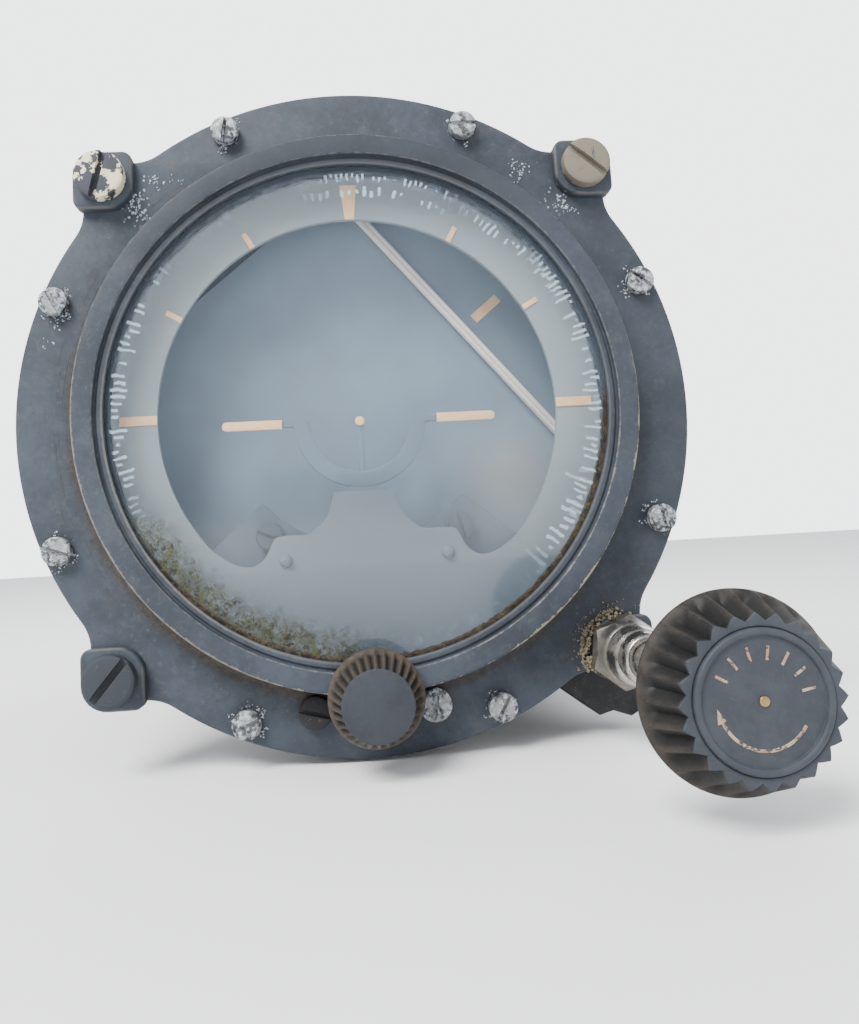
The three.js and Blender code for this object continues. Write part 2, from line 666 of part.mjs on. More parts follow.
function cageKnobBody() {
  const k = cageKnob;
  const front = k.rear - k.high;
  const body = turned([
    [0, front + k.faceDeep],
    [k.faceR, front + k.faceDeep],
    [k.faceR + k.faceDeep / 2, front],
    [k.beadR, front],
    [k.beadR + k.faceDeep / 2, front + k.faceDeep / 2],
    [k.frontR, front + k.faceDeep / 2],
    [k.rearR, k.rear - k.rimHigh],
    [k.rearR, k.rear],
    [k.hubR, k.rear],
    [k.hubR, k.rear + k.hubLong],
    [0, k.rear + k.hubLong],
  ], k.teeth);
  const fluteBack = front + k.high * k.fluteShare;
  const flutes = Array.from({ length: k.teeth }, (_, i) => flute(k, i, front, fluteBack));
  const bore = rod(cage.shaftR + FIT, k.rear - k.high / 2, k.rear + k.hubLong + OVERRUN);
  const pinHole = rod(k.pinR + FIT, front - OVERRUN, k.rear, SMALL_ROUND);
  return cut(body, ...flutes, bore, pinHole);
}

function cageShaft() {
  const k = cageKnob;
  const back = cage.boxBack - FIT;
  const body = rod(cage.shaftR, k.rear - k.high / 2 + FIT, back);
  const pin = rod(k.pinR, k.rear - k.high + k.faceDeep, k.rear, SMALL_ROUND);
  return join(body, pin);
}

function camRadius(turn) {
  const rising = Math.min(turn / cage.turn, 1);
  const falling = Math.max(0, 1 - (turn - cage.holdTo) / cage.fallTurn);
  return cage.camLow + cage.stroke * (turn < cage.holdTo ? rising : falling);
}

function cageCam() {
  const inward = Math.atan2(-cageZ, -cageX);
  const shape = new THREE.Shape(Array.from({ length: cage.camSteps }, (_, i) => {
    const turn = (i * 360) / cage.camSteps;
    const angle = inward + degrees(turn);
    const r = camRadius(turn);
    return new THREE.Vector2(r * Math.cos(angle), r * Math.sin(angle));
  }));
  const bore = rod(cage.shaftR + FIT, camFront - OVERRUN, camFront + cage.camThick + OVERRUN);
  return cut(plate(shape, camFront, camFront + cage.camThick), bore);
}

function inwardRod(r, outer, inner, outerEndR, endLong) {
  const profile = [[0, 0], [outerEndR, 0], [r, endLong], [r, outer - inner], [0, outer - inner]];
  const solid = turned(profile, SMALL_ROUND);
  const direction = new THREE.Vector3(-cageX, 0, -cageZ).normalize();
  const turn = new THREE.Quaternion().setFromUnitVectors(new THREE.Vector3(0, 1, 0), direction);
  const start = direction.clone().multiplyScalar(-outer);
  return solid.applyQuaternion(turn).translate(start.x, plungerY, start.z);
}

function cagePlunger() {
  const outer = caseRadius - cage.camLow - plunger.slack;
  return inwardRod(plunger.r, outer, innerR - plunger.reach, plunger.tipR, plunger.tipLong);
}

// Case barrel with flange, caging boss, tunnel and cam box

function caseBarrel() {
  const c = caseBody;
  const g = cage;
  const atCage = (geometry) => moved(geometry, cageX, 0, cageZ);
  const outside = join(
    rod(caseFlangeR, caseFront, caseFront + c.flangeThick, ROUND),
    rod(barrelR, caseFront, caseBack, ROUND),
    atCage(rod(g.drumR, caseFront, caseFront + g.drumLong, MIDDLE_ROUND)),
    atCage(rod(g.tunnelR, caseFront, g.boxBack - OVERRUN)),
    atCage(rod(g.boxR, g.boxFront, g.boxBack)),
  );
  const inside = turned([
    [0, caseFront - OVERRUN],
    [caseLipR, caseFront - OVERRUN],
    [caseLipR, barrelFront],
    [innerR, barrelFront],
    [innerR, caseBack - c.endLong - c.endSlope],
    [endR, caseBack - c.endLong],
    [endR, caseBack + OVERRUN],
    [0, caseBack + OVERRUN],
  ]);
  const guide = inwardRod(plunger.guideR, barrelR - FIT, innerR - plunger.guideReach, plunger.guideR, FIT);
  const bored = join(cut(outside, inside), guide);
  const guideBore = inwardRod(plunger.r + FIT, caseRadius - FIT, innerR - plunger.guideReach - OVERRUN,
    plunger.r, FIT);
  const boxFloor = g.boxFront + g.boxWall;
  const cavity = atCage(rod(g.boxBoreR, boxFloor, g.boxBack + OVERRUN));
  const shaftBore = atCage(rod(g.shaftR + FIT, caseFront - OVERRUN, g.boxBack, SMALL_ROUND));
  const wellR = g.shaftR + gland.stemR;
  const glandWell = atCage(rod(wellR, caseFront - OVERRUN, caseFront + OVERRUN * 2, SMALL_ROUND));
  const flangeBack = caseFront + c.flangeThick + OVERRUN;
  const frontHole = rod(bezelScrew.shankR + FIT, caseFront - OVERRUN, flangeBack, SMALL_ROUND);
  const frontHoles = around(screwCircle.r, screwCircle.count, screwCircle.first,
    (x, z) => moved(frontHole, x, 0, z));
  const backHoles = rearHoles(caseBack - c.endLong, caseBack + OVERRUN);
  const earNotches = earHoles(caseFront - OVERRUN, flangeBack);
  return cut(bored, guideBore, cavity, shaftBore, glandWell, ...frontHoles, ...earNotches, ...backHoles);
}

function rearHoles(from, to) {
  const hole = rod(rearScrew.shankR + FIT, from, to, SMALL_ROUND);
  return around(rearCircle.r, rearCircle.count, rearCircle.first, (x, z) => moved(hole, x, 0, z));
}

function camBoxCover() {
  const r = cage.boxBoreR - FIT;
  return tube(r, cage.shaftR + FIT, cage.boxBack - cage.coverThick, cage.boxBack);
}

function cageSpring() {
  const front = cage.boxFront + cage.boxWall + FIT;
  return tube(cage.springR, cage.shaftR + FIT, front, front + cage.springThick);
}

// Roll gimbal: a frame of two rails and two end plates, with the guide sector on its left rail

function guideSector() {
  const g = gimbal;
  const shape = outline([
    [pitchY - g.sectorAhead, -g.railHigh],
    [pitchY - g.sectorAhead / 2, -g.sectorHigh],
    [pitchY + g.sectorBehind, -g.sectorHigh],
    [pitchY + g.sectorAhead, 0],
    [pitchY + g.sectorBehind, g.sectorHigh],
    [pitchY - g.sectorAhead / 2, g.sectorHigh],
    [pitchY - g.sectorAhead, g.railHigh],
  ]);
  return sidePlate(shape, -railOut, -railIn);
}

function guideArcSlot() {
  const half = bar.pinR + FIT * 2;
  const spread = PITCH_AT_REST + gimbal.slotSpare;
  const shape = outline([
    ...arcPoints(pitchY, 0, bar.guideR + half, 180 - spread, 180 + spread, SMALL_ROUND),
    ...arcPoints(pitchY, 0, bar.guideR - half, 180 + spread, 180 - spread, SMALL_ROUND),
  ]);
  return sidePlate(shape, -railOut - OVERRUN, -railIn + OVERRUN);
}

function rollGimbal() {
  const g = gimbal;
  const beam = (x0, x1, from, to) => block(x0, x1, from, to, -g.railHigh, g.railHigh);
  const left = beam(-railOut, -railIn, gimbalFront, gimbalBack);
  const right = beam(railIn, railOut, gimbalFront, gimbalBack);
  const front = beam(-railOut, railOut, gimbalFront, gimbalFront + g.plateThick);
  const back = beam(-railOut, railOut, gimbalBack - g.plateThick, gimbalBack);
  const discSeat = discPlate.front + discPlate.thick + discPlate.hubFloor;
  const frontPin = rod(g.trunnionR, discSeat, gimbalFront + OVERRUN);
  const pinBack = bossFront + rearBearing.wide + FIT;
  const backPin = rod(g.trunnionR, gimbalBack - OVERRUN, pinBack);
  const leverPin = rodAlongX(bar.pivotR, -leverX - bar.leverThick - FIT, -railIn - OVERRUN);
  const pitchBores = [-1, 1].map((side) => {
    const bore = rodAlongX(bearing.outerR + FIT, railIn - OVERRUN, railOut + OVERRUN, MIDDLE_ROUND);
    return moved(side < 0 ? bore.rotateY(Math.PI) : bore, 0, pitchY, 0);
  });
  const airway = rod(rear.airwayR / 2, gimbalBack - g.plateThick - OVERRUN, pinBack + OVERRUN);
  return cut(
    join(left, right, front, back, frontPin, backPin, moved(leverPin, 0, barPivotY, 0),
      guideSector(), balanceWeight()),
    ...pitchBores, guideArcSlot(), airway,
  );
}

function balanceWeight() {
  const g = gimbal;
  return block(railIn, railOut + g.trimX, gimbalBack - g.trimY, gimbalBack, -g.trimDown, g.railHigh);
}

function horizonDisc() {
  const d = discPlate;
  const back = d.front + d.thick;
  const far = discR + OVERRUN;
  const keep = block(-(railOut + FIT), far, d.front - OVERRUN, back + OVERRUN, -far, far);
  const face = common(rod(discR, d.front, back, ROUND), keep);
  const pointer = block(-d.pointerWide / 2, d.pointerWide / 2, d.front - d.pointerProud, back,
    pointerIn, pointerOut);
  const hub = rod(d.hubR, back - d.thick / 2, back + d.hubLong);
  const bore = rod(gimbal.trunnionR + FIT, back + d.hubFloor - FIT, back + d.hubLong + OVERRUN);
  return cut(join(face, pointer, hub), bore);
}

function frontBracket() {
  const b = bracket;
  const wall = innerR - FIT;
  const back = b.front + b.thick;
  const hub = rod(b.hubR, b.front, back);
  const arm = block(0, wall - b.footThick / 2, b.front, back, -b.armHalf, b.armHalf);
  const footBack = b.front + b.footLong;
  const footBlock = block(wall - b.footThick, wall + OVERRUN, b.front, footBack, -b.footHalf, b.footHalf);
  const foot = common(footBlock, rod(wall, b.front - OVERRUN, footBack + OVERRUN, ROUND));
  return cut(join(hub, arm, foot), rod(b.boreR, b.front - OVERRUN, back + OVERRUN));
}

function bearingRing(size, front) {
  return tube(size.outerR, size.innerR, front, front + size.wide);
}

function pitchBearing() {
  const ring = tube(bearing.outerR, bearing.innerR - FIT * 2, -bearing.wide / 2, bearing.wide / 2);
  return ring.rotateZ(-Math.PI / 2);
}

// Horizon bar on its lever, drawn about the lever's pivot

function barLever() {
  const b = bar;
  const slotNear = pivotBack + b.guideR / 2 - b.pinR - FIT;
  const slotFar = pivotBack + b.guideR + b.pinR + FIT;
  const waist = b.pinR * 4;
  const upper = [
    [b.tailLong, b.bodyHalf],
    [-slotNear + waist * 2, b.bodyHalf],
    [-slotNear + waist, b.slotBodyHalf],
    [-slotFar - waist, b.slotBodyHalf],
    [-slotFar - waist * 2, b.bodyHalf],
    [-barLength + b.stripThick / 2, b.tipHalf],
    [-barLength - b.stripThick / 2, b.tipHalf],
  ];
  const lower = [...upper].reverse().map(([y, z]) => [y, -z]);
  const leverFar = -leverX - b.leverThick;
  const lever = sidePlate(outline([...upper, ...lower]), leverFar, -leverX);
  const stripFront = -barLength - b.stripThick / 2;
  const strip = block(leverFar, discR - b.stripShort, stripFront, stripFront + b.stripThick,
    -b.stripHalf, b.stripHalf);
  const weight = block(-leverX - b.weightThick, -leverX, b.tailLong - b.weightLong, b.tailLong,
    -b.weightHalf, b.weightHalf);
  const slot = block(leverFar - OVERRUN, -leverX + OVERRUN, -slotFar, -slotNear,
    -b.slotHalf, b.slotHalf);
  const pivot = rodAlongX(b.pivotR + FIT, leverFar - OVERRUN, -leverX + OVERRUN);
  return cut(join(lever, strip, weight), slot, pivot);
}

// Gyro housing about the pitch axis, with its trunnions and guide pin

function gyroHousing() {
  const h = housing;
  const drum = rodAlongZ(housingR, -h.half, h.half, ROUND);
  const hollow = rodAlongZ(housingR - h.wall, h.floor - h.half, h.half + OVERRUN, ROUND);
  const floorBoss = rodAlongZ(h.bearingBoss, -h.half, -rotor.high / 2 - FIT, MIDDLE_ROUND);
  const footStep = rodAlongZ(rotor.axleR + FIT, -h.half + h.floor / 2, -rotor.high / 2);
  const inner = housingR - h.wall / 2;
  const pin = (side) => {
    const trunnion = rodAlongX(h.trunnionR, inner, railOut - FIT);
    return side < 0 ? trunnion.rotateY(Math.PI) : trunnion;
  };
  const guideStart = -Math.sqrt(inner ** 2 - bar.guideR ** 2);
  const guidePin = rodAlongX(bar.pinR, -leverX - bar.leverThick - FIT, guideStart);
  const guideBoss = rodAlongX(bar.pinR + h.wall / 2, -housingR, guideStart);
  const guide = [guidePin, guideBoss].map((piece) => moved(piece, 0, -bar.guideR, 0));
  const jets = [-1, 1].map((side) => {
    const jet = rodAlongX(h.jetR, housingR - h.wall * 2, housingR + OVERRUN).rotateZ(Math.PI / 2);
    return moved(jet, side * rotorR * h.jetShare, 0, 0);
  });
  return cut(join(cut(drum, hollow, ...jets), floorBoss, pin(-1), pin(1), ...guide), footStep);
}

function housingCover() {
  const h = housing;
  const seat = h.half + FIT;
  const lid = rodAlongZ(housingR, seat, seat + h.coverThick, ROUND);
  const boss = rodAlongZ(h.bearingBoss, rotor.high / 2 + FIT, seat + h.coverThick, MIDDLE_ROUND);
  const bore = rodAlongZ(rotor.axleR + FIT, rotor.high / 2, seat + h.coverThick / 2);
  return cut(join(lid, boss), bore);
}

function gyroRotor() {
  const r = rotor;
  const half = r.high / 2;
  const wheel = turned([
    [0, -half - housing.floor],
    [r.axleR, -half - housing.floor],
    [r.axleR, -half],
    [r.hubR, -half],
    [r.hubR, -r.webThick / 2],
    [rotorR - r.rimThick, -r.webThick / 2],
    [rotorR - r.rimThick, -half],
    [rotorR, -half],
    [rotorR, half],
    [rotorR - r.rimThick, half],
    [rotorR - r.rimThick, r.webThick / 2],
    [r.hubR, r.webThick / 2],
    [r.hubR, half],
    [r.axleR, half],
    [r.axleR, half + housing.floor],
    [0, half + housing.floor],
  ], r.buckets * 2);
  const bucket = rod(r.bucketR, -r.webThick / 2, r.webThick / 2, 6);
  const buckets = around(rotorR, r.buckets, 0, (x, z) => moved(bucket, x, 0, z));
  return cut(wheel, ...buckets).rotateX(Math.PI / 2);
}

function airValve() {
  const v = valve;
  const floor = -valveTop - v.high;
  const body = block(-v.half, v.half, -v.half, v.half, floor, -valveTop);
  const reach = v.half + OVERRUN;
  const portTop = -valveTop - v.upperAxle - v.axleR - OVERRUN * 2;
  const acrossX = block(-reach, reach, -v.portHalf, v.portHalf, floor + OVERRUN * 2, portTop);
  const acrossY = block(-v.portHalf, v.portHalf, -reach, reach, floor + OVERRUN * 2, portTop);
  const upper = moved(rodAlongX(v.axleR + FIT, -reach, reach), 0, 0, -valveTop - v.upperAxle);
  const lower = moved(rod(v.axleR + FIT, -reach, reach, SMALL_ROUND), 0, 0, -valveTop - v.lowerAxle);
  return cut(body, acrossX, acrossY, upper, lower);
}

function vanePair() {
  const v = valve;
  const near = v.half + v.vaneGap;
  const far = near + v.vaneThick;
  const axle = rod(v.axleR, -far, far, SMALL_ROUND);
  const vane = (from, to) => block(-v.vaneHalf, v.vaneHalf, from, to, -v.vaneDrop, v.vaneRise);
  return join(axle, vane(-far, -near), vane(near, far));
}

// Rear cover, filter, suction elbow and plug

function rearCover() {
  const r = rear;
  const bossBack = coverBack + r.filterBossLong;
  const filterFloor = bossBack - r.filterThick - r.filterRingThick - FIT * 2;
  const body = turned([
    [0, bossFront],
    [r.bossR, bossFront],
    [r.bossR, coverFront],
    [barrelR, coverFront],
    [barrelR, coverBack - bezel.edge],
    [barrelR - bezel.edge, coverBack],
    [r.filterBossR, coverBack],
    [r.filterBossR, bossBack],
    [0, bossBack],
  ]);
  const boreBack = bossFront + rearBearing.wide + FIT * 2;
  const bearingBore = rod(rearBearing.outerR + FIT, bossFront - OVERRUN, boreBack);
  const airway = rod(r.airwayR, bossFront, bossBack);
  const filterSeat = rod(r.filterR + FIT, filterFloor, bossBack + OVERRUN);
  const screwHoles = rearHoles(coverFront - OVERRUN, coverBack + OVERRUN);
  const port = (shankR) => rod(shankR + FIT, coverFront - OVERRUN, coverBack + OVERRUN);
  const elbowHole = moved(port(elbow.shankR), portX, 0, portZ);
  const plugHole = moved(port(plug.shankR), -portX, 0, portZ);
  return cut(body, bearingBore, airway, filterSeat, ...screwHoles, elbowHole, plugHole);
}

function rearGasket() {
  const back = rearGasketFront + caseBody.gasket;
  const ring = tube(barrelR, endR, rearGasketFront, back, ROUND);
  return cut(ring, rearHoles(caseBack, coverFront));
}

function suctionElbow() {
  const e = elbow;
  const seat = coverBack + FIT;
  const bend = seat + e.baseHigh + e.out;
  const outside = join(
    rod(e.shankR, coverFront, seat + OVERRUN),
    hexagon(e.baseAcross, seat, seat + e.baseHigh),
    rod(e.tubeR, seat, bend),
    moved(new THREE.SphereGeometry(e.tubeR, MIDDLE_ROUND, SMALL_ROUND), 0, bend, 0),
    moved(rodAlongZ(e.tubeR, -e.drop, 0, MIDDLE_ROUND), 0, bend, 0),
    moved(rodAlongZ(e.lipR, -e.drop, e.lipLong - e.drop, MIDDLE_ROUND), 0, bend, 0),
  );
  return cut(outside, rod(e.boreR, coverFront - OVERRUN, bend),
    moved(rodAlongZ(e.boreR, -e.drop - OVERRUN, e.boreR, MIDDLE_ROUND), 0, bend, 0));
}

function portPlug() {
  const seat = coverBack + FIT;
  return join(hexagon(plug.across, seat, seat + plug.high), rod(plug.shankR, coverFront, seat + OVERRUN));
}

// Assembly

function buildFront(root) {
  addPart(root, 'bezel_casting', bezelCasting(), darkPaint);
  addPart(root, 'bezel_gasket', gasketRing(), blackRubber);
  addPart(root, 'window_glass', rod(glass.r, glassFront, glassFront + glass.thick, ROUND), clearGlass);
  addPart(root, 'glass_seal',
    tube(glass.r, glass.r - seal.wide, sealFront, sealFront + seal.thick, ROUND), blackRubber);
  addPart(root, 'glass_retaining_ring',
    tube(glass.r, glass.r - retainer.wide, retainerFront, retainerFront + retainer.thick, ROUND), steel);
  addPart(root, 'dial_mask', dialMask(), maskPaint);
  addPart(root, 'mask_bracket', bracketBehindMask(), aluminium);
  for (const [place, side, angle] of [['left', -1, 20], ['right', 1, 80]]) {
    addPart(root, `mask_screw_${place}`, slottedScrew(maskScrew, angle), steel,
      [side * maskScrewX, maskScrewSeat(), maskScrewZ]);
  }
  const seatY = bezel.flangeFront - FIT;
  around(screwCircle.r, screwCircle.count, screwCircle.first, (x, z, i) =>
    addPart(root, `bezel_screw_${i + 1}`, slottedScrew(bezelScrew, 40 * i), wornSteel, [x, seatY, z]));
  const mounts = [['top_left', -1, 1, -75], ['top_right', 1, 1, 40], ['bottom_left', -1, -1, -50]];
  for (const [place, sx, sz, angle] of mounts) {
    addPart(root, `mounting_screw_${place}`, slottedScrew(mountScrew, angle), wornSteel,
      [sx * earOffset, ear.padFront - FIT, sz * earOffset]);
  }
}

function buildAdjuster(root) {
  const axis = [0, 0, adjusterZ];
  const bushBack = adjuster.pocketFront;
  addPart(root, 'adjuster_bush',
    tube(adjuster.bushR, adjuster.shaftR + FIT, adjuster.bossFront, bushBack, SMALL_ROUND), brass, axis);
  addPart(root, 'adjust_knob', adjustKnobBody(), darkPaint, axis);
  addPart(root, 'adjust_shaft', adjustShaft(), steel, axis);
  addPart(root, 'foot_guide', footGuide(), steel);
  addPart(root, 'miniature_airplane', airplaneSheet(), luminousPaint);
  for (const [place, side, angle] of [['left', -1, 15], ['right', 1, 100]]) {
    addPart(root, `adjuster_screw_${place}`, slottedScrew(adjusterScrew, angle), wornSteel,
      [side * adjuster.screwX, bezel.flangeFront - FIT, adjusterScrewZ]);
  }
}

function buildCaging(root) {
  const axis = [cageX, 0, cageZ];
  addPart(root, 'gland_nut', glandNut(), nickel, axis);
  addPart(root, 'gland_bush', glandBush(), nickel, axis);
  addPart(root, 'caging_knob', cageKnobBody(), blackPlastic, axis);
  addPart(root, 'caging_shaft', cageShaft(), steel, axis);
  addPart(root, 'caging_cam', cageCam(), brass, axis);
  addPart(root, 'caging_spring', cageSpring(), steel, axis);
  addPart(root, 'cam_box_cover', camBoxCover(), aluminium, axis);
  addPart(root, 'caging_plunger', cagePlunger(), brass);
}

function buildCase(root) {
  addPart(root, 'case_barrel', caseBarrel(), darkPaint);
  addPart(root, 'rear_cover_gasket', rearGasket(), blackRubber);
  addPart(root, 'rear_cover', rearCover(), darkPaint);
  around(rearCircle.r, rearCircle.count, rearCircle.first, (x, z, i) => {
    const screw = slottedScrew(rearScrew, 30 * i).rotateZ(Math.PI);
    addPart(root, `rear_cover_screw_${i + 1}`, screw, steel, [x, coverBack + FIT, z]);
  });
  addPart(root, 'rear_bearing', bearingRing(rearBearing, bossFront), steel);
  const ringBack = coverBack + rear.filterBossLong;
  const filterBack = ringBack - rear.filterRingThick - FIT;
  addPart(root, 'air_filter_element', rod(rear.filterR, filterBack - rear.filterThick, filterBack), felt);
  addPart(root, 'air_filter_ring',
    tube(rear.filterR, rear.filterRingIn, ringBack - rear.filterRingThick, ringBack), brass);
  addPart(root, 'vacuum_elbow', suctionElbow(), nickel, [portX, 0, portZ]);
  addPart(root, 'port_plug', portPlug(), brass, [-portX, 0, portZ]);
  addPart(root, 'front_bearing_bracket', frontBracket(), aluminium);
  addPart(root, 'front_bearing', bearingRing(bearing, bracket.front), steel);
}

function buildGyro(rollFrame) {
  addPart(rollFrame, 'roll_gimbal', rollGimbal(), aluminium);
  addPart(rollFrame, 'horizon_disc', horizonDisc(), discPaint);
  const bearingX = (railIn + railOut) / 2;
  addPart(rollFrame, 'pitch_bearing_left', pitchBearing(), steel, [-bearingX, pitchY, 0]);
  addPart(rollFrame, 'pitch_bearing_right', pitchBearing(), steel, [bearingX, pitchY, 0]);

  const barFrame = new THREE.Group();
  barFrame.position.set(0, barPivotY, 0);
  barFrame.rotation.x = -degrees(BAR_AT_REST);
  rollFrame.add(barFrame);
  addPart(barFrame, 'horizon_bar_arm', barLever(), luminousPaint);

  const pitchFrame = new THREE.Group();
  pitchFrame.position.set(0, pitchY, 0);
  pitchFrame.rotation.x = -degrees(PITCH_AT_REST);
  rollFrame.add(pitchFrame);
  addPart(pitchFrame, 'gyro_housing', gyroHousing(), aluminium);
  addPart(pitchFrame, 'housing_cover', housingCover(), aluminium);
  addPart(pitchFrame, 'rotor', gyroRotor(), steel);
  addPart(pitchFrame, 'pendulum_body', airValve(), aluminium);
  addPart(pitchFrame, 'vane_pair_fore_aft', vanePair(), brass, [0, 0, -valveTop - valve.lowerAxle]);
  const crosswise = vanePair().rotateZ(Math.PI / 2);
  addPart(pitchFrame, 'vane_pair_lateral', crosswise, brass, [0, 0, -valveTop - valve.upperAxle]);
}

function buildInstrument() {
  const root = new THREE.Group();
  buildFront(root);
  buildAdjuster(root);
  buildCaging(root);
  buildCase(root);
  const rollFrame = new THREE.Group();
  rollFrame.rotation.y = degrees(ROLL_AT_REST);
  root.add(rollFrame);
  buildGyro(rollFrame);
  return root;
}

const group = buildInstrument();

export default group;
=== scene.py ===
import math
import random

import bmesh
import bpy
from mathutils import Matrix, Vector


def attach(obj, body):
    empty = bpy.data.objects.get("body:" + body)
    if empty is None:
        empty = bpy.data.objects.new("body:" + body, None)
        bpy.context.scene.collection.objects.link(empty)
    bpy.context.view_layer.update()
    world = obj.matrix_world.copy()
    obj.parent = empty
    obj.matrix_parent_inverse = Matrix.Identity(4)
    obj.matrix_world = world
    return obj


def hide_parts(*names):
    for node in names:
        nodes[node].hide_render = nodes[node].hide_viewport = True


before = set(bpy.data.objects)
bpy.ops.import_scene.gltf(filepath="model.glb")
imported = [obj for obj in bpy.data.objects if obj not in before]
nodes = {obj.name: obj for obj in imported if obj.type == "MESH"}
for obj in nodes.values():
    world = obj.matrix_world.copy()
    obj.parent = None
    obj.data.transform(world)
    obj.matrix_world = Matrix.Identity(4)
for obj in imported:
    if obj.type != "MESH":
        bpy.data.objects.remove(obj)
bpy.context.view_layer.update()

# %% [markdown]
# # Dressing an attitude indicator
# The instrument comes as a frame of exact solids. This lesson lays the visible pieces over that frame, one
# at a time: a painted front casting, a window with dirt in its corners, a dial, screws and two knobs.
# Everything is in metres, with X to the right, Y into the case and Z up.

MM = 0.001

# %% [markdown]
# ## The camera
# A photograph of a round flange tells where its camera stood, because circles turn into ellipses that
# shrink with distance. The numbers here come from such a fit: three small turns, a distance and a focal
# length. The optical centre isn't the middle of the picture, so the lens is shifted instead of the picture
# being cropped.

# %% Camera
PICTURE = (859, 1024)
FOCUS_PX = 770.153
CENTRE_PX = (388.16, 468.596)
SENSOR = 36.0
TURN_Z, TURN_Y, TURN_X = -0.051, -0.061, -0.102
RING_SEEN_AT = (-4.677, -10.902, 130.19)
FIT_TO_MM = 1.0173
RING_FRONT = -5.3
turn = Matrix.Rotation(TURN_Z, 3, "Z") @ Matrix.Rotation(TURN_Y, 3, "Y") @ Matrix.Rotation(TURN_X, 3, "X")
to_ring = Vector(RING_SEEN_AT) * FIT_TO_MM * MM


def in_world(v):
    """Right, down and away become X, Z and Y."""
    return Vector((v[0], v[2], -v[1]))


eye = in_world(-(turn.transposed() @ to_ring)) + Vector((0, RING_FRONT * MM, 0))
right, down, ahead = (in_world(turn[i]) for i in range(3))
camera = bpy.data.objects.new("camera", bpy.data.cameras.new("camera"))
bpy.context.scene.collection.objects.link(camera)
camera.matrix_world = Matrix((right, -down, -ahead)).transposed().to_4x4()
camera.location = eye
camera.data.sensor_width = SENSOR
camera.data.lens = FOCUS_PX / PICTURE[1] * SENSOR
camera.data.shift_x = (PICTURE[0] / 2 - CENTRE_PX[0]) / PICTURE[1]
camera.data.shift_y = (CENTRE_PX[1] - PICTURE[1] / 2) / PICTURE[1]
camera.data.clip_start = MM
bpy.context.scene.camera = camera
print("lens", round(camera.data.lens, 2), "eye in mm", [round(v / MM, 1) for v in eye])

# %% [markdown]
# ## Writing materials as sums
# A material is a web of small nodes, and a web is hard to read. The class below wraps one socket, so that
# sums such as `wear * 2 - dirt` add the Math nodes by themselves. Every other node comes from one method,
# `node`, which takes the node's kind, its settings and what goes into its sockets.

# %% Sockets with arithmetic


class Socket:
    """One output of a node, with sums written as sums."""

    def __init__(self, tree, output=None):
        self.tree = tree
        self.output = output

    def node(self, kind, inputs=None, out=0, **settings):
        made = self.tree.nodes.new(kind)
        for name, value in settings.items():
            setattr(made, name, value)
        for key, value in (inputs or {}).items():
            target = made.inputs[key]
            if isinstance(value, Socket):
                self.tree.links.new(value.output, target)
            else:
                target.default_value = (*value, 1) if target.type == "RGBA" and len(value) == 3 else value
        return Socket(self.tree, made.outputs[out]) if made.outputs else made

    def math(self, operation, *others):
        return self.node("ShaderNodeMath", dict(enumerate((self, *others))), operation=operation)

    def __add__(self, other):
        return self.math("ADD", other)

    def __sub__(self, other):
        return self.math("SUBTRACT", other)

    def __rsub__(self, other):
        return self.node("ShaderNodeMath", {0: other, 1: self}, operation="SUBTRACT")

    def __mul__(self, other):
        return self.math("MULTIPLY", other)

    def __truediv__(self, other):
        return self.math("DIVIDE", other)

    def __abs__(self):
        return self.math("ABSOLUTE")

    __radd__ = __add__
    __rmul__ = __mul__

    def most(self, other):
        return self.math("MAXIMUM", other)

    def step(self, low, high, to_low=0.0, to_high=1.0):
        """Rises softly from to_low to to_high as the value goes from low to high."""
        limits = {0: self, 1: low, 2: high, 3: to_low, 4: to_high}
        return self.node("ShaderNodeMapRange", limits, interpolation_type="SMOOTHSTEP")

    def mix(self, under, over):
        """The colour under where this value is 0, and over where it is 1."""
        values = {0: self, 6: under, 7: over}
        return self.node("ShaderNodeMix", values, out=2, data_type="RGBA")


# %% [markdown]
# ## Colours as they show
# A finished picture doesn't show a paint's own colour: the light multiplies it, and the view softens what
# is bright. The table lists which amount of light shows as which grey, so a colour read off an old
# instrument can be turned back into the paint that gives it.

# %% Colours as they show
SHOWN = (
    (0, 0.0), (32, 0.02), (50, 0.04), (77, 0.08), (96, 0.12), (118, 0.18), (135, 0.25), (153, 0.35),
    (170, 0.5), (183, 0.7), (197, 1.0), (208, 1.4), (217, 2.0), (226, 2.8), (233, 4.0), (240, 6.0),
    (256, 12.0),
)
DARKEST, PALEST = 0.01, 0.9
FRONT_LIGHT = 3.6
INNER_LIGHT = 2.0
PANE_GLARE = (0.08, 0.085, 0.095)


def seen(*levels, light=FRONT_LIGHT, glare=(0, 0, 0)):
    """The paint that shows as this colour, 0 to 255, when that much light falls on it."""
    colour = []
    for level, extra in zip(levels, glare):
        (low, dark), (high, bright) = next((a, b) for a, b in zip(SHOWN, SHOWN[1:]) if level <= b[0])
        amount = dark + (bright - dark) * (level - low) / (high - low) - extra
        colour.append(max(DARKEST, min(amount / light, PALEST)))
    return tuple(colour)


def inner(*levels, light=INNER_LIGHT):
    """The same for a paint behind the window, whose film and gloss add some light of their own."""
    return seen(*levels, light=light, glare=PANE_GLARE)


print("mid grey", [round(v, 3) for v in seen(128, 128, 128)])

# %% [markdown]
# ## Light
# The instrument was photographed under an open sky against white. So the world is bright behind it and
# dimmer in front of it, and one wide lamp from the upper left gives the soft shadows below the pads and
# under the ring. A weaker lamp from the right keeps the shadow side readable.

# %% Light
AIM = (0, 0.03, 0)


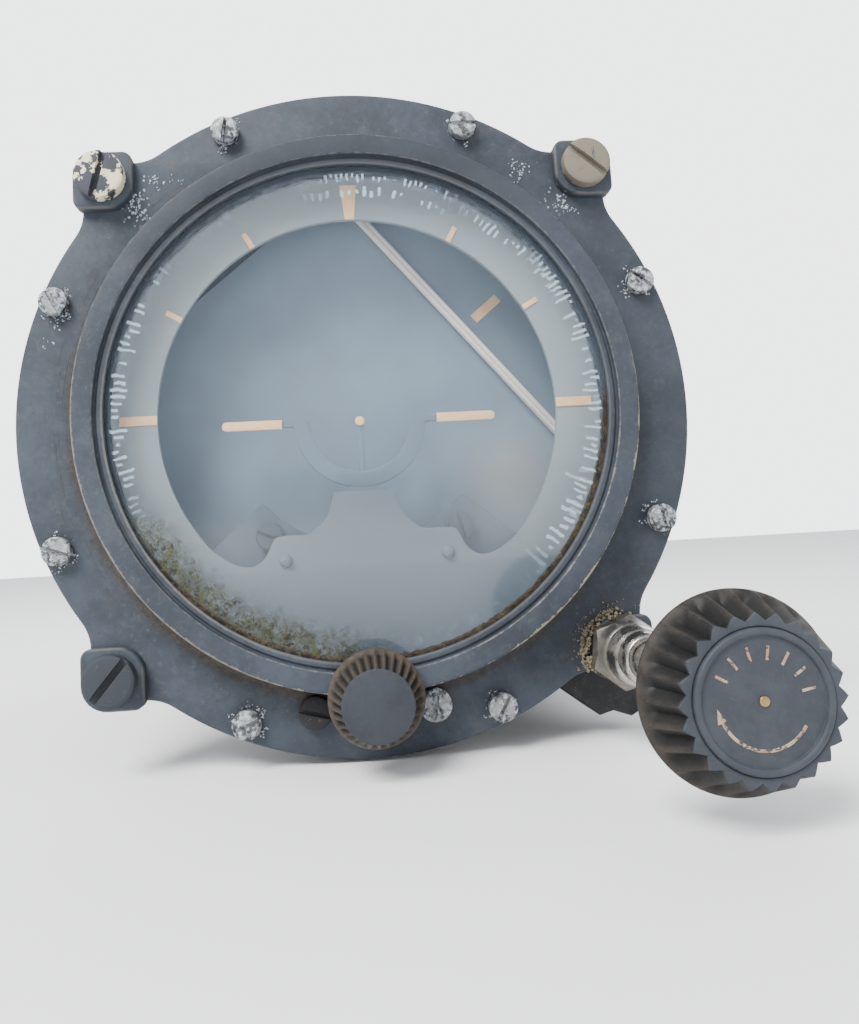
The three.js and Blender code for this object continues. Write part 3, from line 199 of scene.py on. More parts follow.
def studio_world(colour, ahead, behind):
    """A plain world that grows brighter from the viewer's side to the far side."""
    world = bpy.data.worlds.new("studio")
    bpy.context.scene.world = world
    world.use_nodes = True
    tree = world.node_tree
    back = tree.nodes["Background"]
    back.inputs["Color"].default_value = (*colour, 1)
    direction = Socket(tree).node("ShaderNodeTexCoord", out="Generated")
    away = direction.node("ShaderNodeSeparateXYZ", {0: direction}, out=1)
    tree.links.new(away.step(0.2, 0.7, ahead, behind).output, back.inputs["Strength"])


def soft_lamp(name, spot, size, power):
    lamp = bpy.data.lights.new(name, "AREA")
    lamp.size = size
    lamp.energy = power
    made = bpy.data.objects.new(name, lamp)
    bpy.context.scene.collection.objects.link(made)
    made.location = spot
    made.rotation_euler = (Vector(AIM) - Vector(spot)).to_track_quat("-Z", "Y").to_euler()


studio_world((0.95, 0.97, 1.0), ahead=0.9, behind=3.6)
soft_lamp("sky_light", (-0.45, -0.55, 0.75), size=0.5, power=24)
soft_lamp("side_light", (0.7, -0.35, 0.25), size=0.8, power=2.7)
print([light.name for light in bpy.data.lights])

# %% [markdown]
# ## A pattern's place
# Most marks of age on this instrument follow its round shape: dirt lies in the corner of the ring, and bare
# metal shows on its edges. Object coordinates in millimetres, with the radius and the angle worked out from
# them, let a material say where such a mark lies.

# %% Places in millimetres


class Place:
    """Object coordinates in millimetres, and patterns that read them."""

    def __init__(self, material, centre):
        self.material = material
        raw = Socket(material.node_tree).node("ShaderNodeTexCoord", out="Object")
        back = tuple(-c * MM for c in centre)
        shifted = raw.node("ShaderNodeVectorMath", {0: raw, 1: back}, operation="ADD")
        self.point = raw.node("ShaderNodeVectorMath", {0: shifted, 3: 1 / MM}, operation="SCALE")
        self.x, self.y, self.z = (
            raw.node("ShaderNodeSeparateXYZ", {0: self.point}, out=i) for i in range(3)
        )
        self.radius = (self.x * self.x + self.z * self.z).math("SQRT")
        self.angle = self.x.math("ARCTAN2", self.z)

    def noise(self, size, detail=3.0, rough=0.6, seed=0.0, stretch=None, distortion=0.0):
        """Cloudy noise, about 0.5 on average, with lumps of that size in millimetres."""
        point = self.point
        if stretch:
            point = point.node("ShaderNodeVectorMath", {0: point, 1: stretch}, operation="MULTIPLY")
        values = {
            "Vector": point, "W": seed, "Scale": 1 / size, "Detail": detail, "Roughness": rough,
            "Distortion": distortion,
        }
        return point.node("ShaderNodeTexNoise", values, noise_dimensions="4D")

    def cells(self, size, seed):
        """Distance to the nearest of many scattered points, counted in that size."""
        values = {"Vector": self.point, "W": seed, "Scale": 1 / size}
        return self.point.node("ShaderNodeTexVoronoi", values, voronoi_dimensions="4D")

    def from_circle(self, radius, depth):
        """Distance to the circle of that radius at that depth along Y."""
        out = self.radius - radius
        along = self.y - depth
        return (out * out + along * along).math("SQRT")

    def from_point(self, x, z):
        out = self.x - x
        up = self.z - z
        return (out * out + up * up).math("SQRT")

    def from_ring_of(self, count, radius, first):
        """Distance to the nearest of count points, spread evenly over a circle."""
        step = 2 * math.pi / count
        folded = (self.angle - math.radians(first) + step / 2).math("FLOORED_MODULO", step) - step / 2
        aside = folded * radius
        out = self.radius - radius
        return (aside * aside + out * out).math("SQRT")


def new_material(name, centre=(0, 0, 0)):
    """An empty material and its place. The names start with aged, because the solids' own materials hold the
    short ones."""
    made = bpy.data.materials.new("aged_" + name)
    made.use_nodes = True
    made.node_tree.nodes.clear()
    return Place(made, centre)


def bump(height, depth_mm, strength):
    values = {"Height": height, "Distance": depth_mm * MM, "Strength": strength}
    return height.node("ShaderNodeBump", values)


def finish(p, colour, rough, metallic=0.0, specular=0.5, **others):
    """Feeds one Principled shader. Values that vary are sockets, and the rest are plain numbers."""
    values = {"Base Color": colour, "Roughness": rough, "Metallic": metallic, "Specular IOR Level": specular}
    shader = colour.node("ShaderNodeBsdfPrincipled", {**values, **others})
    colour.node("ShaderNodeOutputMaterial", {0: shader})
    return p.material


# %% [markdown]
# ## Turning, cutting out and joining
# Most pieces of this instrument came off a lathe or were cut from sheet. `turned` spins a closed profile
# about an axis along Y, `lathe` softens its corners first, and `flat` cuts a plate out of a drawn outline,
# with a softened rim too, because a real edge always catches a little light.

# %% Making shapes
CORNER_STEPS = 3
TINY = 1e-6


def rounded(profile, edge=0.2):
    """Softens the corners of a closed profile. A third number on a point is that corner's own softness."""
    soft = []
    for i, point in enumerate(profile):
        here = Vector(point[:2])
        size = point[2] if len(point) > 2 else edge
        before = Vector(profile[i - 1][:2]) - here
        after = Vector(profile[(i + 1) % len(profile)][:2]) - here
        reach = min(size, before.length * 0.45, after.length * 0.45)
        if here.x < TINY or reach < 1e-4:
            soft.append(tuple(here))
            continue
        start, end = here + before.normalized() * reach, here + after.normalized() * reach
        for k in range(CORNER_STEPS + 1):
            t = k / CORNER_STEPS
            soft.append(tuple(start * (1 - t) ** 2 + here * (2 * t * (1 - t)) + end * t**2))
    return soft


def arc(cx, cy, r, first, last, steps=8, edge=None):
    """Points on an arc, with angles counted from the first axis towards the second."""
    turns = [math.radians(first + (last - first) * i / steps) for i in range(steps + 1)]
    points = [(cx + r * math.cos(a), cy + r * math.sin(a)) for a in turns]
    return points if edge is None else [(*p, edge) for p in points]


def oblong(left, right, low, high):
    """The corners of an upright oblong, as an outline or as the profile of a washer."""
    return [(left, low), (right, low), (right, high), (left, high)]


def turned(profile, x=0.0, z=0.0, sides=96):
    """A mesh in metres, from a closed profile of (radius, Y) in millimetres."""
    made = bmesh.new()
    rings = []
    for r, y in profile:
        if r < TINY:
            rings.append([made.verts.new(Vector((x, y, z)) * MM)] * sides)
            continue
        turns = (2 * math.pi * i / sides for i in range(sides))
        spots = (Vector((x + r * math.sin(a), y, z + r * math.cos(a))) * MM for a in turns)
        rings.append([made.verts.new(spot) for spot in spots])
    for near, far in zip(rings, rings[1:] + rings[:1]):
        for i in range(sides):
            k = (i + 1) % sides
            corners = list(dict.fromkeys((near[i], near[k], far[k], far[i])))
            if len(corners) > 2:
                made.faces.new(corners)
    return closed(made)


def lathe(profile, edge=0.2, **where):
    return turned(rounded(profile, edge), **where)


def closed(made):
    """Turns every face outwards and gives back a plain mesh."""
    bmesh.ops.remove_doubles(made, verts=made.verts, dist=0.5e-6)
    bmesh.ops.dissolve_degenerate(made, edges=made.edges, dist=1e-7)
    bmesh.ops.recalc_face_normals(made, faces=made.faces)
    return as_mesh(made)


def as_mesh(made):
    mesh = bpy.data.meshes.new("shape")
    made.to_mesh(mesh)
    made.free()
    return mesh


def flat(outlines, front, back, edge=0.15):
    """A plate between two depths. The first outline is its rim and the others are holes."""
    curve = bpy.data.curves.new("outline", "CURVE")
    curve.dimensions = "2D"
    curve.fill_mode = "BOTH"
    curve.extrude = ((back - front) / 2 - edge) * MM
    curve.bevel_depth = edge * MM
    curve.bevel_resolution = 2
    curve.offset = -edge * MM
    for points in outlines:
        spline = curve.splines.new("POLY")
        spline.points.add(len(points) - 1)
        spline.use_cyclic_u = True
        for point, (x, z) in zip(spline.points, points):
            point.co = (x * MM, z * MM, 0, 1)
    drawn = bpy.data.objects.new("outline", curve)
    bpy.context.scene.collection.objects.link(drawn)
    mesh = bpy.data.meshes.new_from_object(drawn)
    bpy.data.objects.remove(drawn)
    made = bmesh.new()
    made.from_mesh(mesh)
    lay = Matrix.Translation((0, (front + back) / 2 * MM, 0)) @ Matrix.Rotation(math.pi / 2, 4, "X")
    bmesh.ops.transform(made, matrix=lay, verts=made.verts)
    return closed(made)


def joined(*meshes):
    """Several meshes as one."""
    made = bmesh.new()
    for mesh in meshes:
        made.from_mesh(mesh)
    return as_mesh(made)


def changed(mesh, matrix):
    copy = mesh.copy()
    copy.transform(matrix)
    if matrix.determinant() < 0:
        copy.flip_normals()
    return copy


def rolled(mesh, degrees):
    """Turns a mesh clockwise as seen from the front."""
    return changed(mesh, Matrix.Rotation(math.radians(degrees), 4, "Y"))


def moved(mesh, x=0.0, z=0.0):
    return changed(mesh, Matrix.Translation(Vector((x, 0, z)) * MM))


def faced_back(mesh):
    """A piece made for the front, turned to stand on the back. Its Y is mirrored."""
    return changed(mesh, Matrix.Scale(-1, 4, (0, 1, 0)))


def combined(mesh, tool, how="DIFFERENCE", edge=0.0):
    """Cuts a mesh by another, or keeps what they share, and softens the new edges."""
    body, knife = (bpy.data.objects.new(n, m) for n, m in (("body", mesh), ("knife", tool)))
    for made in (body, knife):
        bpy.context.scene.collection.objects.link(made)
    work = body.modifiers.new("cut", "BOOLEAN")
    work.operation = how
    work.object = knife
    work.solver = "EXACT"
    if edge:
        soft = body.modifiers.new("edges", "BEVEL")
        soft.width = edge * MM
        soft.segments = 2
        soft.limit_method = "ANGLE"
        soft.angle_limit = math.radians(40)
    ready = bpy.context.evaluated_depsgraph_get()
    result = bpy.data.meshes.new_from_object(body.evaluated_get(ready), depsgraph=ready)
    for made in (body, knife):
        bpy.data.objects.remove(made)
    return result


def place(name, mesh, body, slot, material, *instead_of, sharp=35):
    """Makes a finished piece of a mesh, on its body and in its finish."""
    made = bpy.data.objects.new(name, mesh)
    mesh.name = name
    bpy.context.scene.collection.objects.link(made)
    mesh.materials.clear()
    mesh.materials.append(material)
    mesh.shade_smooth()
    mesh.set_sharp_from_angle(angle=math.radians(sharp))
    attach(made, body)
    if instead_of:
        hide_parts(*instead_of)
    print(name, "has", len(mesh.polygons), "faces")


# %% [markdown]
# ## Two rules for what repeats
# The screws and the crumbs of corrosion are copies of a few models, and the flutes of the knobs repeat
# round them. Geometry Nodes does both: one tree sets a copy on each point, and another pushes a turned
# blank inwards by a zigzag wave round its axis. Each result is kept as a plain mesh.

# %% Trees for copies and flutes


def new_tree(name, **inputs):
    tree = bpy.data.node_groups.new(name, "GeometryNodeTree")
    tree.interface.new_socket("Geometry", in_out="INPUT", socket_type="NodeSocketGeometry")
    for label, kind in inputs.items():
        tree.interface.new_socket(label, in_out="INPUT", socket_type=f"NodeSocket{kind}")
    tree.interface.new_socket("Geometry", in_out="OUTPUT", socket_type="NodeSocketGeometry")
    entry = tree.nodes.new("NodeGroupInput")
    return tree, {socket.name: Socket(tree, socket) for socket in entry.outputs if socket.name}


def end_tree(shape, finish_input):
    solid = shape.node("GeometryNodeRealizeInstances", {0: shape})
    painted = shape.node("GeometryNodeSetMaterial", {"Geometry": solid, "Material": finish_input})
    shape.node("NodeGroupOutput", {0: painted})


def copies_tree():
    tree, given = new_tree("copies_on_points", Model="Object", Finish="Material")
    start = given["Geometry"]
    turn, size = (
        start.node("GeometryNodeInputNamedAttribute", {"Name": n}, data_type="FLOAT_VECTOR")
        for n in ("turn", "size")
    )
    model = start.node("GeometryNodeObjectInfo", {"Object": given["Model"]}, out="Geometry")
    spin = start.node("FunctionNodeEulerToRotation", {0: turn})
    values = {"Points": start, "Instance": model, "Rotation": spin, "Scale": size}
    end_tree(start.node("GeometryNodeInstanceOnPoints", values), given["Finish"])
    return tree


def flutes_tree():
    tree, given = new_tree("flutes", Teeth="Float", Depth="Float", Finish="Material")
    start = given["Geometry"]
    point = start.node("GeometryNodeInputPosition")
    x, _, z = (start.node("ShaderNodeSeparateXYZ", {0: point}, out=i) for i in range(3))
    bite = start.node("GeometryNodeInputNamedAttribute", {"Name": "bite"}, data_type="FLOAT")
    wave = (x.math("ARCTAN2", z) * given["Teeth"] / (2 * math.pi)).math("PINGPONG", 0.5) * 2
    inward = wave * bite * given["Depth"] * -MM
    radius = (x * x + z * z).math("SQRT").most(TINY)
    share = inward / radius
    shift = start.node("ShaderNodeCombineXYZ", {0: x * share, 2: z * share})
    shape = start.node("GeometryNodeSetPosition", {"Geometry": start, "Offset": shift})
    end_tree(shape, given["Finish"])
    return tree


def grown(mesh, tree, **values):
    """Runs a tree on a mesh, and gives back a plain mesh."""
    base = bpy.data.objects.new("base", mesh)
    bpy.context.scene.collection.objects.link(base)
    work = base.modifiers.new("tree", "NODES")
    work.node_group = tree
    for item in tree.interface.items_tree:
        if item.in_out == "INPUT" and item.name in values:
            work[item.identifier] = values[item.name]
    ready = bpy.context.evaluated_depsgraph_get()
    result = bpy.data.meshes.new_from_object(base.evaluated_get(ready), depsgraph=ready)
    base.modifiers.clear()
    bpy.data.objects.remove(base)
    return result


copies = copies_tree()
flutes = flutes_tree()


def on_points(model_mesh, spots, finish_material):
    """Copies of a model. Each spot is a place in millimetres, three turns in degrees, and a size or three."""
    cloud = bpy.data.meshes.new("spots")
    cloud.from_pydata([Vector(where) * MM for where, _, _ in spots], [], [])
    turn = cloud.attributes.new("turn", "FLOAT_VECTOR", "POINT")
    size = cloud.attributes.new("size", "FLOAT_VECTOR", "POINT")
    for i, (_, turns, sizes) in enumerate(spots):
        turn.data[i].vector = [math.radians(t) for t in turns]
        size.data[i].vector = sizes if isinstance(sizes, (tuple, list)) else (sizes,) * 3
    model = bpy.data.objects.new("model", model_mesh)
    bpy.context.scene.collection.objects.link(model)
    result = grown(cloud, copies, Model=model, Finish=finish_material)
    bpy.data.objects.remove(model)
    return result

# %% [markdown]
# ## The worn dark paint
# The casting is brushed with a dark blue-grey paint that has gone chalky. It needs three scales of change:
# wide cloudy patches, fine speckle, and marks that follow the shape. Edges of the ring are rubbed pale,
# brown dirt lies in its foot and has run down the left of the flange, and white corrosion spreads from the
# screws. Painted shade darkens the top of the ring's face and the right of the flange.

# %% Paint of the casting
RING_R, MOUTH_R = 49.1, 45.4
SCREW_R = 58.0
EAR_R = 62.86
EAR_OFFSET = 44.45
PAD_HALF = 5.35
ADJUST_Z = -49.1


def dirt_in_foot(p, grain):
    """Brown dirt where the ring meets the flange, with streaks beside it at the left."""
    left_below = (p.x * -0.75 - p.z * 0.65 + p.noise(22, 3, seed=21) * 40).step(0, 50, 0.12, 1)
    ragged = p.noise(3, 5, 0.7, seed=5) * 4
    foot = (p.from_circle(RING_R + 1.4, 1.6) + ragged).step(2.6, 4.4, 1, 0)
    around_axis = p.point.node("ShaderNodeCombineXYZ", {0: p.angle * 4.0, 1: p.radius * 1.1, 2: 0.0})
    runs = around_axis.node(
        "ShaderNodeTexNoise", {"Vector": around_axis, "Scale": 1.0, "Detail": 4.0, "Roughness": 0.65}
    )
    band = abs(p.radius - 53.5).step(0.5, 3.5, 1, 0)
    streaks = runs.step(0.5, 0.68) * band * (p.x * -1.0 + p.z * 0.2).step(22, 48)
    lumps = (foot * left_below * grain.step(0.25, 0.6, 0.55, 1)).most(streaks * 0.65)
    return lumps * p.y.step(-4.5, -1.5)


def rubbed_edges(p):
    """Pale broken lines along the edges of the ring and its lip, and chips below at the right."""
    broken = p.noise(1.3, 5, 0.8, seed=6)
    chipped = p.noise(4, 4, 0.7, seed=19)
    outer = p.from_circle(RING_R - 0.1, RING_FRONT + 0.1)
    mouth = p.from_circle(MOUTH_R, RING_FRONT)
    lower_right = (p.x * 0.55 - p.z * 0.85).step(15, 45)
    lower_left = (p.x * -0.9 - p.z * 0.5).step(25, 48)
    outer_wear = (outer + broken * 1.5 - lower_left * 0.22).step(0.7, 0.9, 1, 0) * (0.6 + lower_left * 0.4)
    chips = (outer + chipped * 2.6 + broken * 0.8).step(1.75, 1.9, 1, 0) * lower_right
    inner_wear = (mouth + broken * 1.2).step(0.66, 0.84, 1, 0) * (0.4 + lower_right * 0.6)
    rib = (p.from_circle(43.95, -4.55) + broken * 0.8).step(0.55, 0.7, 1, 0) * (0.2 + lower_left * 0.5)
    return outer_wear.most(inner_wear).most(rib), chips


def white_corrosion(p):
    """Crumbly salt round the screws and between the ears and the ring, on the flange alone."""
    lumps = p.cells(0.85, seed=7).step(0.28, 0.42, 1, 0)
    where = p.noise(2.6, 4, 0.75, seed=8)
    screws = (p.from_ring_of(8, SCREW_R, 22.5) + where * 6).step(4.6, 6.6, 1, 0)
    ears = (p.from_ring_of(4, EAR_R - 7.6, 45) + where * 9).step(6.2, 8.6, 1, 0) * p.z.step(-2, 12, 0.12, 1)
    return lumps * screws.most(ears) * where.step(0.4, 0.56) * p.y.step(0.4, 1.4) * p.y.step(8, 11, 1, 0)


def casting_paint(name, dark, light):
    p = new_material(name)
    cloud = p.noise(15, 5, 0.62, seed=1)
    blotch = p.noise(4.5, 5, 0.7, seed=3)
    grain = p.noise(0.8, 4, 0.75, seed=2)
    colour = (cloud * 0.65 + blotch * 0.35).step(0.36, 0.64).mix(dark, light)
    colour = (grain.step(0.52, 0.76) * 0.6).mix(colour, seen(140, 148, 155))
    colour = (grain.step(0.24, 0.46, 1, 0) * 0.6).mix(colour, seen(68, 73, 82))
    dust = blotch.step(0.5, 0.68) * p.noise(0.45, 3, 0.7, seed=4).step(0.4, 0.66)
    colour = (dust * 0.5).mix(colour, seen(140, 136, 128))

    # Painted shade: darker at the top of the ring's face and towards the right of the flange.
    painted_shade = (p.z.step(15, 46) * p.y.step(-4, -2, 1, 0) * 0.6).most(p.x.step(15, 60) * 0.3)
    colour = painted_shade.mix(colour, seen(66, 73, 84))

    dirt = dirt_in_foot(p, grain)
    colour = (dirt * 0.88).mix(colour, grain.step(0.35, 0.65).mix(seen(70, 60, 52), seen(124, 110, 92)))
    wear, chips = rubbed_edges(p)
    colour = (wear * 0.9).mix(colour, seen(172, 170, 164))
    colour = chips.mix(colour, seen(196, 190, 178))

    aside, above = abs(abs(p.x) - EAR_OFFSET), abs(abs(p.z) - EAR_OFFSET)
    pad_rim = (aside.most(above) + blotch * 0.9).step(PAD_HALF, PAD_HALF + 0.3)
    pad_edge = pad_rim * abs(p.y - 0.3).step(0.2, 0.6, 1, 0)
    colour = (pad_edge * 0.55).mix(colour, seen(160, 158, 150))

    white = white_corrosion(p)
    colour = white.mix(colour, seen(206, 208, 208))
    rough = cloud.step(0.3, 0.7, 0.55, 0.72)
    height = grain * 0.3 + white * 1.5 + dirt * 0.5 - wear * 0.3 - chips * 0.8 + dust * 0.25
    return finish(p, colour, rough, specular=0.25, Normal=bump(height, 0.12, 0.9))


paint = casting_paint("worn_dark_paint", seen(85, 95, 108), seen(114, 125, 138))
case_paint = casting_paint("case_paint", seen(58, 57, 60), seen(88, 85, 82))
print(paint.name, "and", case_paint.name, "made")

# %% [markdown]
# ## The front casting
# The casting is one piece: a flange with four ears, a ring with a soft foot, raised pads for the panel and
# a boss for the small knob. The outline runs from flange to ear through a hollow fillet, whose place
# follows from three circles that touch each other.

# %% Front casting


def ear_outline():
    """One quarter of the rim: half a flange arc, a fillet, the ear, a fillet and half an arc."""
    flange_r, ear_r, fillet_r = 61.0, 5.2, 8.0
    to_fillet, ear_to_fillet = flange_r + fillet_r, ear_r + fillet_r
    cosine = (EAR_R**2 + to_fillet**2 - ear_to_fillet**2) / (2 * EAR_R * to_fillet)
    aside = math.acos(cosine)
    half = math.radians(45)
    fillet = Vector((math.cos(half - aside), math.sin(half - aside))) * to_fillet
    ear = Vector((math.cos(half), math.sin(half))) * EAR_R
    toward = math.degrees(math.atan2(*(ear - fillet).yx))
    back = math.degrees(math.atan2(*(-fillet).yx)) % 360
    touch = math.degrees(math.atan2(*(fillet - ear).yx))
    first = arc(0, 0, flange_r, 0, math.degrees(half - aside), 16)
    hollow = arc(*fillet, fillet_r, back, toward, 8)
    round_ear = arc(*ear, ear_r, touch, 45, 10)
    quarter = first + hollow[1:] + round_ear[1:]
    return quarter + [(z, x) for x, z in reversed(quarter[1:-1])]


def casting_rim():
    rim = []
    for i in range(4):
        turn_by = math.radians(90 * i)
        c, s = round(math.cos(turn_by)), round(math.sin(turn_by))
        rim += [(x * c - z * s, x * s + z * c) for x, z in ear_outline()]
    return rim


def casting_ring():
    foot = [(47.4, 6.9), (51.1, 6.9), (51.1, 2.0, 0)] + arc(51.1, 0, 2, 90, 180, 6, 0)[1:]
    face = [(RING_R, RING_FRONT, 0.6), (MOUTH_R, RING_FRONT, 0.3), (MOUTH_R, -4.15)]
    lip = [(44.9, -4.15), (44.9, -4.5), (43.8, -4.5, 0.3), (43.8, -3.6)]
    inside = [(45.8, -3.6), (45.8, 7.0), (47.4, 7.0)]
    return lathe(foot + face + lip + inside, sides=192)


def ear_pad(i):
    corners = ((1, 1, 4.6), (-1, 1, 1.8), (-1, -1, 4.6), (1, -1, 1.8))
    outline = []
    for k, (x, z, r) in enumerate(corners):
        reach = PAD_HALF - r
        outline += arc(EAR_OFFSET + x * reach, EAR_OFFSET + z * reach, r, 90 * k, 90 * k + 90, 8)
    return rolled(flat([outline], 0, 3, 0.5), 90 * i)


def adjuster_boss():
    profile = [(0, 3), (6.4, 3), (6.1, 2.0, 0.6), (5.8, -4.9, 0.7), (0, -4.9)]
    return lathe(profile, z=ADJUST_Z, sides=64)


plate = flat([casting_rim(), arc(0, 0, 47.5, 0, 357.5, 143)], 2, 7, 0.6)
front_casting = joined(plate, casting_ring(), adjuster_boss(), *(ear_pad(i) for i in range(4)))
place("front_casting", front_casting, "case", "dark_paint", paint, "bezel_casting")

# %% [markdown]
# ## The window
# Old glass is seldom clear. Short white crystals grow inward from its seal like a comb, moss has taken the
# lower left, a brown crumbly line runs along the bottom, and a thin pale film takes the contrast out of the
# dial. That film is partly dirt on the glass and partly a painted reflection of the sky, brightest at the
# lower right. The glass mixes a clear and a glossy shader, and the film is a diffuse one that covers a part
# of it.
# How glossy the glass is follows from Layer Weight. Fresnel would turn the light back inside a closed pane.

# %% Window glass
GLASS_R = 43.8


def crystals(p, pitch, reach_low, reach_high, seed):
    """A comb of radial strokes of uneven length, inward from the glass's rim."""
    sway = p.noise(2.2, 3, 0.6, seed=seed) * 1.3
    across = (p.angle * GLASS_R + sway) / pitch
    number = across.math("FLOOR")
    lot = number.node("ShaderNodeTexWhiteNoise", {"W": number + seed * 17.0}, noise_dimensions="1D")
    middle = abs(across.math("FRACT") - 0.5)
    stroke = (middle + p.noise(0.7, 3, 0.7, seed=seed + 1) * 0.35).step(0.34, 0.46, 1, 0)
    rim = GLASS_R - p.radius
    start = lot * 1.1 + reach_low
    end = (lot * 7.3).math("FRACT") * (reach_high - reach_low - 1.2) + reach_low + 1.2
    within = (rim - start).step(0, 0.35) * (rim - end).step(-0.35, 0.15, 1, 0)
    return stroke * within * (lot * 3.7).math("FRACT").step(0.12, 0.2)


def sector(p, middle, wide, soft=9.0, seed=0.0):
    """1 in a sector of the dial, in degrees clockwise from the top, with a ragged edge."""
    step = 2 * math.pi
    off = (p.angle - math.radians(middle) + math.pi).math("FLOORED_MODULO", step) - math.pi
    ragged = p.noise(9, 2, seed=seed) * 24
    return (abs(off) * (180 / math.pi) + ragged - 12).step(wide - soft, wide + soft, 1, 0)


def window_finish():
    p = new_material("window")
    rim = GLASS_R - p.radius
    haze = p.noise(26, 3, 0.5, seed=11)
    dust = p.cells(1.1, seed=12).step(0.05, 0.13, 1, 0) * p.noise(6, 3, seed=13).step(0.48, 0.66)

    near_comb = crystals(p, 1.25, 0.4, 4.0, 14) * sector(p, -86, 34, seed=40)
    near_comb = near_comb.most(crystals(p, 1.15, 0.4, 4.4, 18) * sector(p, 86, 36, seed=41))
    long_comb = crystals(p, 1.6, 0.9, 6.6, 22) * sector(p, 122, 13, seed=42)
    lace = crystals(p, 1.0, 0.8, 3.1, 26).most(crystals(p, 1.5, 3.3, 6.0, 30)) * sector(p, 8, 17, seed=43)
    lace = lace.most(crystals(p, 1.2, 1.8, 5.0, 34) * sector(p, 46, 15, seed=44))
    crystal = near_comb.most(long_comb).most(lace)
    near_rim = rim.step(0.2, 1.2) * rim.step(2.2, 5.0, 1, 0)
    bloom = near_rim * p.noise(1.6, 4, 0.7, seed=45).step(0.4, 0.62)

    speck = p.noise(0.9, 5, 0.8, seed=14)
    moss_side = sector(p, 214, 34, 14, seed=46)
    moss = moss_side * speck.step(0.42, 0.54) * (rim + p.noise(3, 4, 0.7, seed=15) * 9).step(7.0, 12.5, 1, 0)
    soot = moss_side * (rim + haze * 8).step(6, 14, 1, 0)
    soot = soot * p.noise(2.2, 4, 0.7, seed=16).step(0.3, 0.6, 0.4, 1)
    line = (rim + p.noise(1.1, 4, 0.75, seed=17) * 1.6).step(1.4, 1.9, 1, 0)
    brown = line * (p.x * 0.35 - p.z + haze * 14).step(12, 38, 0.15, 0.9)

    # Painted reflection of the sky on the film: a strong patch at the lower right, a faint one at the top and
    # a broad one over the middle, over a thin film that is partly real dirt.
    bright = (p.from_point(25, -13) + haze * 12).step(5, 24, 1, 0)
    faint = (p.from_point(-1, 23) + haze * 12).step(8, 22, 1, 0)
    broad = (p.from_point(6, -8) + haze * 16).step(12, 42, 1, 0)
    film_and_painted_glare = haze.step(0.36, 0.66) * 0.05 + bright * 0.24 + faint * 0.06 + broad * 0.02 + 0.06
    cover = (film_and_painted_glare + dust * 0.3).most(crystal * 0.75).most(bloom * 0.25)
    cover = cover.most(soot * 0.55).most(moss * 0.88).most(brown * 0.9)
    front = p.y.step(-3, -2, 1, 0)
    cover = cover * front
    colour = bright.mix(seen(190, 200, 209), seen(208, 207, 204))
    colour = crystal.mix(colour, seen(208, 214, 217))
    green = p.noise(1.4, 4, seed=20).step(0.38, 0.6).mix(seen(88, 84, 62), seen(140, 144, 96))
    colour = soot.mix(colour, seen(104, 108, 98))
    colour = moss.mix(colour, green)
    crumbly = speck.step(0.4, 0.62).mix(seen(86, 78, 68), seen(156, 142, 118))
    colour = brown.step(0.1, 0.5).mix(colour, crumbly)

    clear = p.point.node("ShaderNodeBsdfTransparent", {"Color": (0.97, 0.985, 0.99)})
    gloss = p.point.node("ShaderNodeBsdfGlossy", {"Color": (1, 1, 1), "Roughness": 0.1})
    facing = p.point.node("ShaderNodeLayerWeight", {"Blend": 0.5}, out="Facing")
    sheen = (facing.math("POWER", 5.0) * 0.96 + 0.04) * front
    pane = sheen.node("ShaderNodeMixShader", {0: sheen, 1: clear, 2: gloss})
    film = colour.node("ShaderNodeBsdfDiffuse", {"Color": colour, "Roughness": 0.6})
    glass = cover.node("ShaderNodeMixShader", {0: cover, 1: pane, 2: film})
    glass.node("ShaderNodeOutputMaterial", {0: glass})
    return p.material


window = lathe([(0, -3.3), (45.5, -3.3, 0.4), (45.5, -0.9, 0.4), (0, -0.9)], sides=128)
place("window", window, "case", "clear_glass", window_finish(), "window_glass")

# %% [markdown]
# ## The dial
# A pale grey mask frames a darker disc. The marks on the mask and the wings of the little airplane were
# filled with a luminous paint that has turned to the colour of cream. The same light doesn't reach all of
# them, so each grey is told how much falls on it and is made lighter or darker to cancel it: the disc's
# paint is lightened against the shade it lies in, and the yoke, the bracket and the screw heads are
# darkened as painted shade, so that the yoke hardly shows against the disc. The mask is painted lighter
# at the top and at the rim, and darker below and in the middle, as painted light and shade.

# %% Paints of the dial


def dial_paint(name, dark, light, seed, painted_light_rise=None):
    """Chalky paint in two tones. They mix in clouds, or, when two heights are given, from dark below to light
    above as painted light, and from painted shade in the middle to painted light at the rim."""
    p = new_material(name)
    cloud = p.noise(11, 5, 0.6, seed=seed)
    speck = p.cells(1.3, seed=seed + 1).step(0.05, 0.12, 1, 0) * p.noise(4, 3, seed=seed + 2).step(0.45, 0.6)
    if painted_light_rise:
        # Painted light and shade: lighter at the top and at the rim, darker below and in the middle.
        tone = (p.z + cloud * 8).step(*painted_light_rise) * p.radius.step(22, 38, 0.3, 1)
    else:
        tone = cloud.step(0.3, 0.7)
    colour = tone.mix(dark, light)
    colour = (speck * 0.3).mix(colour, inner(176, 184, 186))
    fine = p.noise(0.35, 2, seed=seed + 3)
    colour = (fine.step(0.4, 0.7) * 0.1).mix(colour, inner(170, 176, 178))
    return finish(p, colour, cloud.step(0.3, 0.7, 0.7, 0.8), Normal=bump(fine, 0.008, 0.3))


def luminous_paint():
    p = new_material("luminous_paint")
    tone = p.noise(1.6, 4, seed=31).step(0.35, 0.68)
    colour = tone.mix((0.9, 0.5, 0.25), (0.9, 0.58, 0.32))
    grain = p.noise(0.2, 2, seed=32)
    colour = (grain.step(0.6, 0.75) * 0.3).mix(colour, (0.5, 0.33, 0.22))
    return finish(p, colour, grain.step(0.3, 0.7, 0.6, 0.8), Normal=bump(grain, 0.04, 0.6))


